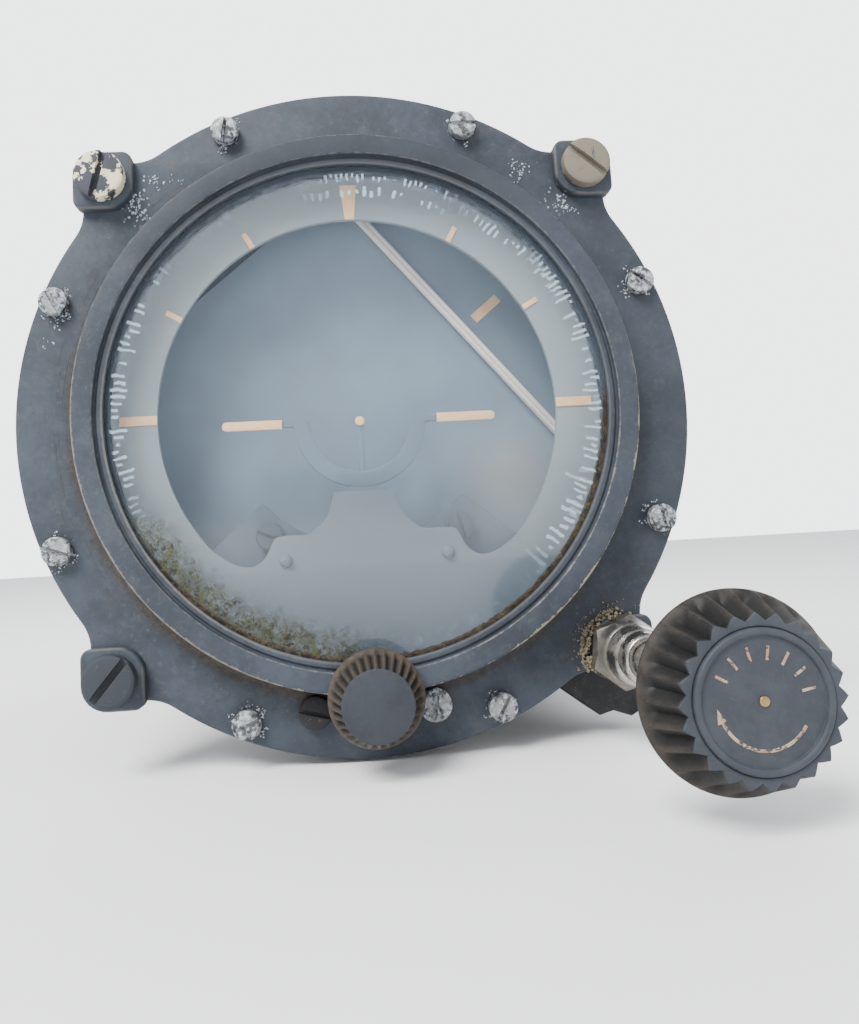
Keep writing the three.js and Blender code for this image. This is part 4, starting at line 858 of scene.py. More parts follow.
# Greys that cancel the light falling on them: little light gives a lighter paint, which is painted light, and
# much light a darker one, which is painted shade.
def light_cancelling_grey(name, dark, light, light_to_cancel, seed):
    return dial_paint(name, inner(*dark, light=light_to_cancel), inner(*light, light=light_to_cancel), seed)


# The mask's two tones carry painted light: lighter at the top and at the rim, darker below and in the middle.
mask_grey = dial_paint("mask_paint", (0.07, 0.088, 0.106), (0.25, 0.28, 0.285), 21, painted_light_rise=(-38, 2))
# The disc's paint is lightened against the shade it lies in, and the yoke, the bracket and the screw heads
# are darkened as painted shade, the heads most.
disc_grey = light_cancelling_grey("disc_paint", (144, 154, 163), (152, 162, 171), 1.35, 25)
yoke_grey = light_cancelling_grey("yoke_paint", (147, 157, 166), (155, 165, 174), 2.1, 29)
bracket_grey = light_cancelling_grey("bracket_paint", (136, 147, 157), (144, 155, 164), 2.8, 33)
painted_shade_head_grey = light_cancelling_grey("shaded_paint", (106, 116, 127), (114, 125, 135), 2.8, 37)
cream = luminous_paint()
print("paint of the disc", [round(v, 3) for v in inner(152, 162, 171, light=1.35)])

# %% Mask and its marks
OPENING = 36.05
plate_shares = [
    (0.144, -0.399), (0.158, -0.42), (0.178, -0.495), (0.205, -0.54), (0.258, -0.585), (0.29, -0.601),
    (0.422, -0.603), (0.458, -0.627), (0.48, -0.674), (0.516, -0.721), (0.577, -0.746), (0.666, -0.721),
    (0.766, -0.646),
]


def smooth_line(points, steps=4):
    """A line through the points, eased between them."""
    line = []
    for i in range(len(points) - 1):
        a, b = points[max(i - 1, 0)], points[i]
        c, d = points[i + 1], points[min(i + 2, len(points) - 1)]
        for k in range(steps):
            t = k / steps
            line.append(tuple(
                0.5 * (
                    2 * q + (r - p) * t + (2 * p - 5 * q + 4 * r - s) * t * t + (3 * q - p - 3 * r + s) * t**3
                )
                for p, q, r, s in zip(a, b, c, d)
            ))
    return line + [points[-1]]


def mask_opening():
    right = [(x * OPENING, z * OPENING) for x, z in smooth_line(plate_shares)]
    corner = math.degrees(math.atan2(right[-1][1], right[-1][0]))
    over = arc(0, 0, OPENING, corner, 180 - corner, 120)
    return right[:-1] + over + [(-x, z) for x, z in reversed(right[:-1])]


def mask_marks():
    """Narrow marks at 30 and 60 degrees, wider ones at 90, and an index that widens outwards at the top."""
    bars = []
    for degrees in (-60, -30, 30, 60, -90, 90):
        half, top = (0.85, OPENING + 6.6) if abs(degrees) == 90 else (0.5, OPENING + 3.1)
        bars.append(rolled(flat([oblong(-half, half, OPENING, top)], 1.25, 1.9, 0.08), degrees))
    index = [(-0.85, OPENING), (0.85, OPENING), (1.55, 42.6), (-1.55, 42.6)]
    return joined(flat([index], 1.25, 1.9, 0.08), *bars)


def rivet(x):
    return turned([(0, 1.9), (1.2, 1.9)] + arc(0, 1.5, 1.2, 0, -90, 6)[:-1] + [(0, 0.6)], x, -26.1, 24)


mask_sheet = flat([arc(0, 0, 45.2, 0, 357, 119), mask_opening()], 1.5, 2.5, 0.12)
skirt = lathe(oblong(44.9, 45.4, 2.2, 8.1), 0.1, sides=96)
foot_room = flat([oblong(-7.6, 7.6, -46.5, -42)], 2.8, 9.1, 0.05)
skirt = combined(skirt, foot_room)
dial_mask = joined(mask_sheet, skirt, rivet(14.4), rivet(-14.4))
place("mask", dial_mask, "case", "mask_paint", mask_grey, "dial_mask")
place("mask_marks", mask_marks(), "case", "pointer_paint", cream)

# %% [markdown]
# ## Disc, pointer and horizon bar
# The disc rolls with the gimbals and was found turned by about 50 degrees. Its pointer is a small raised
# bar, and the horizon bar crosses in front of it: a strip with cream edges and a darker line along its
# middle.

# %% Disc, pointer and bar
ROLL = 50.5
BAR_LOW, BAR_MIDDLE, BAR_HIGH = 27.28, 28.1, 28.92


def disc_shape():
    cut_x, r = -39.7, 43
    corner = math.degrees(math.acos(cut_x / r))
    outline = arc(0, 0, r, -corner, corner, 96)
    return rolled(flat([outline], 14.9, 15.9, 0.12), ROLL)


def bar_finish():
    """Cream edges and a pinkish line, across the strip in the gimbals' own axes."""
    p = new_material("bar_paint")
    turn_by = math.radians(ROLL)
    across = p.x * math.sin(turn_by) + p.z * math.cos(turn_by)
    off = abs(across - BAR_MIDDLE)
    line = (off + p.noise(0.6, 3, seed=35) * 0.12).step(0.2, 0.34, 1, 0)
    colour = line.mix((0.9, 0.84, 0.74), (0.66, 0.52, 0.42))
    worn = p.noise(1.2, 4, 0.7, seed=36)
    colour = (worn.step(0.55, 0.7) * 0.3).mix(colour, (0.5, 0.44, 0.38))
    return finish(p, colour, worn.step(0.3, 0.7, 0.45, 0.7), Normal=bump(worn - line, 0.05, 0.5))


def bar_shape():
    left, right = -41.8, 36.05
    return rolled(flat([oblong(left, right, BAR_LOW, BAR_HIGH)], 12.75, 14.2, 0.3), ROLL)


place("rolling_disc", disc_shape(), "roll", "disc_paint", disc_grey, "horizon_disc")
pointer = rolled(flat([oblong(-1, 1, 31.6, 38.3)], 14.5, 15.2, 0.1), ROLL)
place("roll_pointer", pointer, "roll", "pointer_paint", cream)
bar_paint = bar_finish()
place("bar_strip", bar_shape(), "bar", "bar_paint", bar_paint)

# %% [markdown]
# ## The miniature airplane
# Two wings, a dot and a yoke that carries them, all cut from thin sheet. The yoke is the lower half of a
# ring, with a stem behind the mask that the small knob's eccentric lifts.

# %% Miniature airplane
LINE_Z = -1.25


def wing(side):
    tip = arc(25.2 - 0.85, LINE_Z, 0.85, -90, 90, 8)
    outline = tip + [(14.3, LINE_Z + 0.85), (14.3, LINE_Z - 0.85)]
    return changed(flat([outline], 4.55, 5.2, 0.1), Matrix.Scale(side, 4, (1, 0, 0)))


def yoke():
    outer = arc(0, LINE_Z, 12.2, 180, 360, 40)
    inner = arc(0, LINE_Z, 9.3, 360, 180, 40)
    half_ring = flat([outer + inner], 4.9, 5.7, 0.12)
    link = oblong(9.6, 24, LINE_Z - 0.55, LINE_Z + 0.55)
    links = (flat([[(s * x, z) for x, z in link]], 4.95, 5.65, 0.1) for s in (1, -1))
    prong = flat([oblong(-0.55, 0.55, -11, LINE_Z)], 4.95, 5.65, 0.1)
    stem = flat([oblong(-2.5, 2.5, -47, -11.5)], 4.95, 5.65, 0.1)
    return joined(half_ring, *links, prong, stem)


def airplane_foot():
    rim = oblong(-7.3, 7.3, -51.5, -46.7)
    slot = arc(3.6, ADJUST_Z, 1.3, -90, 90, 6) + arc(-3.6, ADJUST_Z, 1.3, 90, 270, 6)
    return flat([rim, slot], 4.9, 5.7, 0.1)


dot = lathe([(0, 4.5), (0.9, 4.5, 0.25), (0.9, 5.3), (0, 5.3)], z=LINE_Z, sides=32)
airplane_sheet = joined(yoke(), airplane_foot())
place("airplane_yoke", airplane_sheet, "airplane", "pointer_paint", yoke_grey, "miniature_airplane")
place("airplane_marks", joined(wing(1), wing(-1), dot), "airplane", "pointer_paint", cream)

# %% [markdown]
# ## Metals
# Five metals cover the rest: bright nickel, tarnished nickel, steel, brass and bare aluminium. They share
# one recipe with their own colours: tarnish in clouds, which also dulls the shine, and fine pits in the
# bump. The screws have a recipe of their own, with flaking paint over metal and a white crust over both.

# %% Metal finishes


def metal(name, clean, stained, seed, rough=(0.25, 0.5), pits=0.04, stain_size=2.5, spread=(0.4, 0.62)):
    p = new_material(name)
    stain = p.noise(stain_size, 5, 0.7, seed=seed).step(*spread)
    fine = p.noise(0.3, 3, 0.7, seed=seed + 1)
    colour = stain.mix(clean, stained)
    shine = 1.0 - stain * 0.45
    dull = stain.step(0, 1, *rough) + fine * 0.08
    return finish(p, colour, dull, shine, Normal=bump(fine + stain * 0.5, pits, 0.6))


nickel = metal("nickel_plate", (0.42, 0.41, 0.38), (0.2, 0.175, 0.14), 41, (0.2, 0.45), 0.03, 4, (0.42, 0.7))
tarnished = metal(
    "tarnished_nickel", (0.3, 0.29, 0.27), (0.14, 0.12, 0.09), 49, (0.26, 0.5), 0.04, 5, (0.4, 0.66)
)
steel = metal("steel", (0.36, 0.36, 0.35), (0.12, 0.105, 0.09), 43, (0.28, 0.55))
brass = metal("brass", (0.34, 0.235, 0.1), (0.17, 0.11, 0.05), 45, (0.34, 0.55), 0.04, 5, (0.35, 0.75))
aluminium = metal("bare_aluminium", (0.38, 0.39, 0.39), (0.2, 0.2, 0.2), 47, (0.35, 0.6))


def screw_finish(name, bare, painted, crust, seed, crusted, chipped=(0.47, 0.55), metallic=0.7):
    """Flaking paint over metal, with a white crust over both. The paint is gone above chipped."""
    p = new_material(name)
    flakes = p.noise(3.2, 5, 0.62, seed=seed).step(*chipped)
    salt = p.noise(0.9, 5, 0.75, seed=seed + 1).step(*crusted)
    grime = p.noise(2.4, 4, 0.7, seed=seed + 2)
    fine = p.noise(0.25, 3, seed=seed + 3)
    colour = flakes.mix(painted, bare)
    colour = (grime.step(0.52, 0.78) * 0.5).mix(colour, seen(96, 86, 74))
    colour = (fine.step(0.55, 0.8) * 0.3).mix(colour, seen(70, 68, 68))
    colour = salt.mix(colour, crust)
    shine = flakes * (1.0 - salt) * metallic
    dull = 0.75 - shine * 0.4
    height = flakes * -0.6 + salt * 1.4 + fine * 0.4
    return finish(p, colour, dull, shine, specular=0.3, Normal=bump(height, 0.1, 0.9))


crusted_screw = screw_finish(
    "crusted_screw", (0.3, 0.3, 0.29), seen(112, 114, 118), seen(208, 210, 212), 51, (0.45, 0.56)
)
cream_screw = screw_finish(
    "chipped_cream_screw", seen(108, 110, 124), seen(222, 220, 210), seen(232, 230, 222),
    55, (0.7, 0.8), (0.472, 0.488), 0.1,
)
brassy_screw = screw_finish(
    "brassy_screw", seen(128, 130, 132), seen(172, 166, 154), seen(190, 186, 174),
    59, (0.66, 0.74), (0.6, 0.63), 0.2,
)
dark_screw = screw_finish(
    "painted_screw", seen(120, 122, 124), seen(84, 92, 102), seen(182, 180, 174),
    63, (0.66, 0.76), (0.6, 0.68), 0.2,
)
rimmed_screw = screw_finish(
    "rimmed_screw", seen(168, 150, 118), seen(74, 74, 78), seen(190, 184, 170),
    67, (0.58, 0.68), (0.56, 0.62), 0.3,
)
print("screw finishes", [m.name for m in bpy.data.materials if "screw" in m.name])

# %% [markdown]
# ## Screws
# A slotted screw is turned, then cut across by a saw and dressed with a file. One model of each size is
# made, and the tree sets the copies at their places, each turned as it was found.

# %% Screws


def slotted_head(head_r, high, shank_r, shank_long, slot_wide, slot_deep, dome=0.25):
    """A head with its seat at Y = 0, ahead of it, and a shank behind. The slot runs along X."""
    shank = [(0, shank_long), (shank_r * 0.7, shank_long), (shank_r, shank_long - 0.5), (shank_r, 0)]
    side = [(head_r, 0), (head_r, -high + dome)]
    crown = [(head_r * math.cos(t), -high + dome - dome * math.sin(t)) for t in (0.5, 0.9, 1.25)]
    blank = lathe(shank + side + crown + [(0, -high)], 0.12, sides=48)
    wide = slot_wide / 2
    saw = bmesh.new()
    corners = [
        saw.verts.new(Vector((x, y, z)) * MM)
        for x in (-head_r - 1, head_r + 1) for y in (-high - 1, -high + slot_deep) for z in (-wide, wide)
    ]
    bmesh.ops.convex_hull(saw, input=corners)
    return combined(blank, closed(saw), edge=0.06)


def around(count, radius, first, depth, slots):
    """Spots on a circle, counted clockwise from the first angle, with the slot's angle for each."""
    spots = []
    for i in range(count):
        a = math.radians(first + 360 * i / count)
        spots.append(((radius * math.sin(a), depth, radius * math.cos(a)), (0, slots(i), 0), 1))
    return spots


bezel_head = slotted_head(2.5, 2, 1.5, 8, 0.7, 0.8, 0.45)
bezel_spots = around(8, SCREW_R, 22.5, 1.7, lambda i: 40 * i)
bezel_names = [f"bezel_screw_{i}" for i in range(1, 9)]
bezel_screws = on_points(bezel_head, bezel_spots, crusted_screw)
place("bezel_screws", bezel_screws, "case", "worn_steel", crusted_screw, *bezel_names)

mount_head = slotted_head(4.4, 2.5, 2.4, 14, 1.3, 1.2, 0.5)
side_head = slotted_head(2.9, 1.6, 1.2, 4.5, 0.8, 0.7, 0.4)
for name, head, where, slot_turn, screw_paint in (
    ("mounting_screw_top_left", mount_head, (-EAR_OFFSET, -0.3, EAR_OFFSET), -75, cream_screw),
    ("mounting_screw_top_right", mount_head, (EAR_OFFSET, -0.3, EAR_OFFSET), 40, brassy_screw),
    ("mounting_screw_bottom_left", mount_head, (-EAR_OFFSET, -0.3, -EAR_OFFSET), -50, dark_screw),
    ("adjuster_screw_left", side_head, (-10.4, 1.7, -52.4), 15, rimmed_screw),
    ("adjuster_screw_right", side_head, (10.4, 1.7, -52.4), 100, crusted_screw),
):
    screw = on_points(head, [(where, (0, slot_turn, 0), 1)], screw_paint)
    place(name + "_worn", screw, "case", "worn_steel", screw_paint, name)

mask_head = slotted_head(2.45, 1.4, 1.1, 2.2, 0.6, 0.6, 0.3)
mask_spots = [((x, 4.2, -21.6), (0, slot_turn, 0), 1) for x, slot_turn in ((-17.3, 20), (17.3, 80))]
mask_names = ("mask_screw_left", "mask_screw_right")
place("mask_screws", on_points(mask_head, mask_spots, painted_shade_head_grey), "case", "steel", painted_shade_head_grey, *mask_names)

# %% [markdown]
# ## Corrosion in the round
# Paint and bump alone look flat in a raking light, so the thickest of the white corrosion is real: small
# angular lumps, scattered in clusters round the screws and in the corners between the ears and the ring.
# Tan dirt in the round lies where the caging shaft's nut meets the casting.

# %% Crumbs
CAGE_X, CAGE_Z = 44.2, -45.2
KNOB_AXIS = {"x": CAGE_X, "z": CAGE_Z}
CRUMBS_AT_SCREW = (3, 5, 6, 4, 6, 6, 6, 4)
CRUMB_PATCHES = ((-37.5, 40.5, 70), (-34, 44.5, 34), (32, 45, 40), (40.5, 38, 46), (-53.5, 18.5, 34))
HEAD_EDGE = 2.9
RING_FOOT_R = 51.5
rim_line = casting_rim()


def crumb_model(seed):
    draw = random.Random(seed)
    made = bmesh.new()
    bmesh.ops.create_icosphere(made, subdivisions=2, radius=0.5 * MM)
    for v in made.verts:
        v.co *= draw.uniform(0.65, 1.15)
    return closed(made)


def within(outline, x, z):
    """True inside a closed outline: a line from the point to the right crosses it an odd number of times."""
    crossed = False
    for (x0, z0), (x1, z1) in zip(outline, outline[1:] + outline[:1]):
        if (z0 > z) != (z1 > z) and x < x0 + (x1 - x0) * (z - z0) / (z1 - z0):
            crossed = not crossed
    return crossed


def any_turn(draw):
    return tuple(draw.uniform(0, 360) for _ in range(3))


def crumb_spots(seed):
    """Clusters at the screws' edges, then wider ones in patches given by their middle and their number."""
    draw = random.Random(seed)
    spots = []

    def cluster(x, z, count, spread, biggest):
        for _ in range(count):
            a, r = draw.uniform(0, 360), spread * draw.random() ** 0.7
            size = biggest * draw.uniform(0.3, 1)
            where = (x + r * math.sin(math.radians(a)), 2.0, z + r * math.cos(math.radians(a)))
            spots.append((where, any_turn(draw), (size, size * 0.6, size)))

    for i, count in enumerate(CRUMBS_AT_SCREW):
        a = math.radians(22.5 + 45 * i)
        for _ in range(count):
            b = draw.uniform(0, 2 * math.pi)
            x = SCREW_R * math.sin(a) + HEAD_EDGE * math.sin(b)
            cluster(x, SCREW_R * math.cos(a) + HEAD_EDGE * math.cos(b), 7, 1.0, 0.5)
    for x, z, count in CRUMB_PATCHES:
        for _ in range(4):
            cluster(x + draw.gauss(0, 1.4), z + draw.gauss(0, 1.4), count // 4, 1.4, 0.55)
    return [s for s in spots if math.hypot(s[0][0], s[0][2]) > RING_FOOT_R and within(rim_line, *s[0][::2])]


def nut_spots(seed):
    """Tan dirt in the corner between the gland nut and the casting, most at the left and below."""
    draw = random.Random(seed)
    spots = []
    for _ in range(420):
        a = math.radians(draw.gauss(265, 62))
        r = draw.uniform(6.0, 7.2) if draw.random() < 0.7 else draw.uniform(6.6, 9.0)
        size = draw.uniform(0.25, 0.8) * (1 if r < 7.2 else 0.5)
        depth = draw.uniform(-0.2, 1.9) if r < 6.6 else draw.uniform(1.7, 2.0)
        x, z = CAGE_X + r * math.sin(a), CAGE_Z + r * math.cos(a)
        if within(rim_line, x, z):
            spots.append(((x, depth, z), any_turn(draw), (size, size, size * 0.8)))
    return spots


def crust_finish(name, dark, light, seed):
    p = new_material(name)
    grain = p.noise(0.5, 4, 0.7, seed=seed)
    colour = grain.step(0.3, 0.7).mix(dark, light)
    return finish(p, colour, grain.step(0.3, 0.7, 0.75, 0.95), Normal=bump(grain, 0.06, 0.8))


crust = crust_finish("white_crust", seen(178, 181, 184), seen(216, 218, 220), 71)
tan_crust = crust_finish("tan_crust", seen(138, 130, 116), seen(198, 190, 172), 72)
crumbs = on_points(crumb_model(7), crumb_spots(11), crust)
place("corrosion_crumbs", crumbs, "case", "worn_steel", crust, sharp=20)
tan_crumbs = on_points(crumb_model(8), nut_spots(13), tan_crust)
place("gland_crumbs", tan_crumbs, "case", "worn_steel", tan_crust, sharp=20)

# %% [markdown]
# ## The small knob
# The small knob is a cone with fine teeth. The blank is turned with many sides, a number called bite says
# how deep the teeth go at each height, and the tree does the rest.

# %% Small knob
SMALL_TEETH = 30


def share_at(levels, y):
    """A value between the levels, each a pair of Y and value."""
    if y <= levels[0][0]:
        return levels[0][1]
    for (y0, v0), (y1, v1) in zip(levels, levels[1:]):
        if y <= y1:
            return v0 + (v1 - v0) * (y - y0) / (y1 - y0)
    return levels[-1][1]


def cone_rings(rear, front, rear_r, front_r, steps):
    return [
        (rear_r + (front_r - rear_r) * i / steps, rear + (front - rear) * i / steps) for i in range(steps + 1)
    ]


def knob_finish(name, axis, front, flat_r, tip_r, spread, face, crest, seed):
    """The front is plain. On the flank the grooves, below the line of the tooth tips, which starts at tip_r
    and widens by spread, are darkened nearly to black as painted shade. Face and crest are pairs of colours."""
    p = new_material(name, axis)
    cloud = p.noise(4, 5, 0.7, seed=seed)
    fine = p.noise(0.5, 4, 0.75, seed=seed + 1)
    colour = cloud.step(0.38, 0.62).mix(*face)
    colour = (fine.step(0.55, 0.8) * 0.35).mix(colour, seen(138, 140, 144))
    colour = (fine.step(0.2, 0.42, 1, 0) * 0.35).mix(colour, seen(66, 68, 74))
    behind = (p.y - front).step(0.1, 0.4) * p.radius.step(flat_r - 0.1, flat_r)
    tip = (p.y - front) * spread + tip_r
    # Painted shade: the grooves go nearly black below the line of the tooth tips.
    deep = (tip - p.radius + (fine - 0.5) * 0.5).step(0.1, 0.75)
    side = (cloud * 0.6 + fine * 0.4).step(0.4, 0.6).mix(*crest)
    side = (deep * 0.92).mix(side, seen(38, 36, 36))
    colour = behind.mix(colour, side)
    pale = p.noise(0.9, 5, 0.8, seed=seed + 2).step(0.64, 0.74) * 0.45
    colour = pale.mix(colour, seen(150, 144, 134))
    height = fine * 0.5 + pale * 0.6 + cloud * 0.4
    rough = cloud.step(0.3, 0.7, 0.5, 0.72)
    return finish(p, colour, rough, specular=0.25, Normal=bump(height, 0.07, 0.7))


def with_bite(mesh, levels, inside):
    """Notes on each point outside that radius how deep the teeth go there."""
    bite = mesh.attributes.new("bite", "FLOAT", "POINT")
    for i, v in enumerate(mesh.vertices):
        deep = math.hypot(v.co.x, v.co.z) > inside * MM
        bite.data[i].value = share_at(levels, v.co.y / MM) if deep else 0.0
    return mesh


def small_knob():
    rear, front = -6.2, -14.2
    flank = cone_rings(rear - 1.6, front + 0.5, 7.9, 6.05, 8)
    profile = [(0, rear), (7.6, rear), (8.0, rear - 0.4), (8.0, rear - 1.4)] + flank
    profile += [(5.75, front + 0.14), (5.4, front), (0, front)]
    levels = [(front + 0.1, 0.0), (front + 0.5, 0.9), (rear - 3, 1.0), (rear - 2.2, 0.9), (rear - 1.6, 0.0)]
    return with_bite(turned(profile, sides=SMALL_TEETH * 8), levels, 5.8)


small_paint = knob_finish(
    "small_knob_paint", (0, 0, ADJUST_Z), -13.95, 5.6, 6.05, 0.31,
    (seen(76, 82, 94), seen(92, 98, 108)), (seen(98, 88, 76), seen(132, 118, 100)), 75,
)
small = grown(small_knob(), flutes, Teeth=float(SMALL_TEETH), Depth=0.75, Finish=small_paint)
small = moved(small, z=ADJUST_Z)
place("small_knob", small, "adjuster", "dark_paint", small_paint, "adjust_knob", sharp=28)

# %% [markdown]
# ## The caging knob
# The large knob has twenty-four V-shaped flutes that start as points round its face and run out before the
# rear rim. A smooth bead frames a sunken face. An arrow round the lower edge shows which way it turns, and
# plain ticks stand above it. The paint in these marks is half gone, so it is broken up by noise.

# %% Caging knob
KNOB_REAR, KNOB_FRONT, TEETH_Y, FACE_Y = -38.8, -46.4, -45.9, -45.82
BEAD_R, BEAD_HALF = 8.1, 0.5
FLUTES = 24


def knob_blank():
    rear, teeth = KNOB_REAR, TEETH_Y
    flank = cone_rings(rear - 0.8, teeth + 0.1, 12.85, 10.32, 18)
    back = [(0, -34.8), (5, -34.8), (5, rear), (12.3, rear), (12.7, rear - 0.12), (12.85, rear - 0.4)]
    rim = [(10.2, teeth), (9.2, teeth), (8.8, teeth + 0.04), (BEAD_R + BEAD_HALF, teeth + 0.2)]
    bead = arc(BEAD_R, KNOB_FRONT + BEAD_HALF, BEAD_HALF, 0, -180, 10)
    face = [(BEAD_R - 0.55, FACE_Y - 0.02), (BEAD_R - 0.7, FACE_Y), (0, FACE_Y)]
    profile = back + flank + rim + bead + face
    levels = [(teeth, 0.64), (teeth + 0.1, 0.68), (teeth + 1.4, 1.0), (rear - 2.0, 1.0), (rear - 0.9, 0.0)]
    return with_bite(turned(profile, sides=FLUTES * 12), levels, 9.25)


def face_mark(outline):
    return flat([outline], FACE_Y - 0.06, FACE_Y + 0.2, 0.03)


def face_arrow():
    """A thin arc that ends in a narrow head, clockwise from the right round the bottom."""
    r, half, head_at = 5.65, 0.2, -158
    outer = arc(0, 0, r + half, -33, head_at, 48)
    inner = arc(0, 0, r - half, head_at, -33, 48)
    a = math.radians(head_at)
    out, along = Vector((math.cos(a), math.sin(a))), Vector((math.sin(a), -math.cos(a)))
    corners = [out * (r + 0.65), out * (r - 0.5), out * (r - 0.1) + along * 1.7]
    return joined(face_mark(outer + inner), face_mark([tuple(c) for c in corners]))


def face_ticks():
    tick = face_mark(oblong(-0.17, 0.17, 4.8, 6.5))
    return joined(*(rolled(tick, degrees) for degrees in (-60, -37, -14, 10, 33, 56, 79)))


def worn_marks():
    p = new_material("worn_marks")
    gone = p.noise(0.9, 5, 0.8, seed=86).step(0.5, 0.56)
    tint = p.noise(1.6, 3, seed=85).step(0.4, 0.6)
    colour = tint.mix(seen(194, 172, 156), seen(202, 194, 180))
    colour = gone.mix(colour, seen(112, 104, 104))
    return finish(p, colour, 0.6 + gone * 0.1, Normal=bump(gone, 0.03, 0.4))


knob_paint = knob_finish(
    "caging_knob_plastic", (CAGE_X, 0, CAGE_Z), TEETH_Y, 9.0, 10.35, 0.4,
    (seen(88, 95, 106), seen(103, 111, 121)), (seen(50, 47, 46), seen(100, 90, 80)), 79,
)
knob = grown(knob_blank(), flutes, Teeth=float(FLUTES), Depth=1.45, Finish=knob_paint)
knob = moved(knob, **KNOB_AXIS)
place("fluted_knob", knob, "caging_drive", "knob_plastic", knob_paint, "caging_knob", sharp=28)
marks = moved(joined(face_arrow(), face_ticks()), **KNOB_AXIS)
place("knob_marks", marks, "caging_drive", "pointer_paint", worn_marks())

# %% [markdown]
# ## Gland, shaft and pin
# The caging shaft comes out through a hexagonal nut and a domed bush, both nickel plated. The nut's front
# is turned down after it is milled, which leaves round facets at its corners. A small brass pin holds the
# knob.

# %% Gland, shaft and pin


def hex_nut(across, front, back, cut, corner_deep, sides=72, turn_by=0.0):
    """A hexagon that a lathe has turned down, which leaves rounded facets. The cut is pairs of a radius and a
    depth behind the front, and it leaves the corners at corner_deep."""
    r = across / math.sqrt(3)
    turns = (math.radians(60 * i) for i in range(6))
    body = flat([[(r * math.sin(a), r * math.cos(a)) for a in turns]], front, back, 0.1)
    profile = [(out, front + deep) for out, deep in ((0, -0.5), *cut, (r + 0.1, corner_deep))]
    profile += [(r + 0.1, back + 0.5), (0, back + 0.5)]
    return combined(rolled(body, turn_by), turned(profile, sides=sides), "INTERSECT")


def chamfered_nut(across, front, back, x, z):
    flat_r = across / 2 - 0.1
    return moved(hex_nut(across, front, back, [(flat_r, -0.5), (flat_r, 0.05)], 0.75), x, z)


cone = [(4.5, -0.5), (4.55, 0), (4.9, 0.25), (5.35, 1.1), (5.75, 2.2)]
gland = moved(hex_nut(11.5, -5.3, -0.3, cone, 3.4, sides=96, turn_by=8), **KNOB_AXIS)
dome = [
    (0, 6.4), (3.8, 6.4), (3.8, -5.5), (5.1, -5.5, 0.2), (5.1, -7.2, 0.5), (4.75, -8.6, 0.5), (4.3, -9.2),
    (4.3, -11.4, 0.3), (3.9, -12.2, 0.3), (3.1, -12.2), (3.1, -11.6), (0, -11.6),
]
pin = [(0, -45.5), (0.64, -45.5), (0.64, -46.02, 0.12), (0, -46.08)]
place("hex_nut", gland, "case", "nickel_plate", tarnished, "gland_nut")
place("domed_bush", lathe(dome, 0.15, sides=72, **KNOB_AXIS), "case", "nickel_plate", nickel, "gland_bush")
place("knob_pin", lathe(pin, sides=24, **KNOB_AXIS), "caging_drive", "brass", brass)

# %% [markdown]
# ## Case and rear
# The barrel is a turned shell with a boss beside it for the caging shaft. At its back are the cover with
# the air filter, four screws, a suction elbow and the plug of the second port.

# %% Case and rear


def barrel_shell():
    front = [(60.6, 8.4, 0.4), (60.6, 12.0, 0.8), (57, 12.0), (55.4, 12.6), (54.5, 14.0)]
    back = [(54.5, 135.0, 0.4), (48.5, 135.0), (48.5, 129.0)]
    inside = [(52.5, 125.0), (52.5, 9.4), (44.3, 9.4), (44.3, 8.4)]
    return lathe(front + back + inside, 0.6, sides=128)


def caging_boss():
    """A cast lug behind the ear, then a tube to the box of the cam."""
    tube = [(0, 20), (6.5, 20), (6.5, 76.5), (11.4, 78.5, 1), (11.4, 93, 0.4), (0, 93)]
    lug = [
        (-11, -1), (-10.6, -6.5), (-2.4, -12.8), (0.2, -12.1), (3.6, -13.3), (8.8, -10.4), (9, 2), (4.5, 6.8),
        (-6, 6.8),
    ]
    outline = [(CAGE_X + x, CAGE_Z + z) for x, z in reversed(lug)]
    return joined(flat([outline], 8.4, 21.4, 0.7), lathe(tube, 0.8, sides=72, **KNOB_AXIS))


lid = [(0, 93.1), (11.4, 93.1), (11.4, 95, 0.5), (9.4, 95, 0.2), (9.2, 94.7, 0.2), (0, 94.7)]
place("case_shell", joined(barrel_shell(), caging_boss()), "case", "dark_paint", case_paint, "case_barrel")
place("box_lid", lathe(lid, sides=72, **KNOB_AXIS), "case", "bare_aluminium", aluminium, "cam_box_cover")


def rubber_finish():
    p = new_material("black_rubber")
    grain = p.noise(1.2, 4, 0.7, seed=83)
    colour = grain.step(0.35, 0.7).mix(seen(50, 51, 54), seen(84, 84, 84))
    return finish(p, colour, grain.step(0.3, 0.7, 0.75, 0.95), Normal=bump(grain, 0.05, 0.6))


rubber = rubber_finish()
front_gasket = lathe(oblong(45.8, 60.6, 7.3, 8.1), sides=128)
back_gasket = lathe(oblong(48.5, 54.5, 135.3, 136.1), sides=128)
place("front_gasket", front_gasket, "case", "black_rubber", rubber, "bezel_gasket")
place("back_gasket", back_gasket, "case", "black_rubber", rubber, "rear_cover_gasket")


def cover_shape():
    rim = [(54.5, 136.4), (54.5, 140.4, 0.9)]
    groove = [(47.5, 140.4), (46.8, 139.9), (45.4, 139.9), (44.7, 140.4)]
    boss = [(16.2, 140.4), (15, 141.4), (15, 147, 0.5), (12.5, 147, 0.2)]
    seat = [(12.5, 142.5), (2.2, 142.5), (2.2, 136.4)]
    return lathe(rim + groove + boss + seat, 0.4, sides=128)


place("back_cover", cover_shape(), "case", "dark_paint", case_paint, "rear_cover")
rear_spots = [
    ((x, -y, z), turns, size) for (x, y, z), turns, size in around(4, 51.5, 45, -140.7, lambda i: 30 * i)
]
rear_head = faced_back(slotted_head(2.5, 2, 1.4, 6, 0.7, 0.8, 0.45))
rear_names = [f"rear_cover_screw_{i}" for i in range(1, 5)]
place("back_screws", on_points(rear_head, rear_spots, steel), "case", "steel", steel, *rear_names)


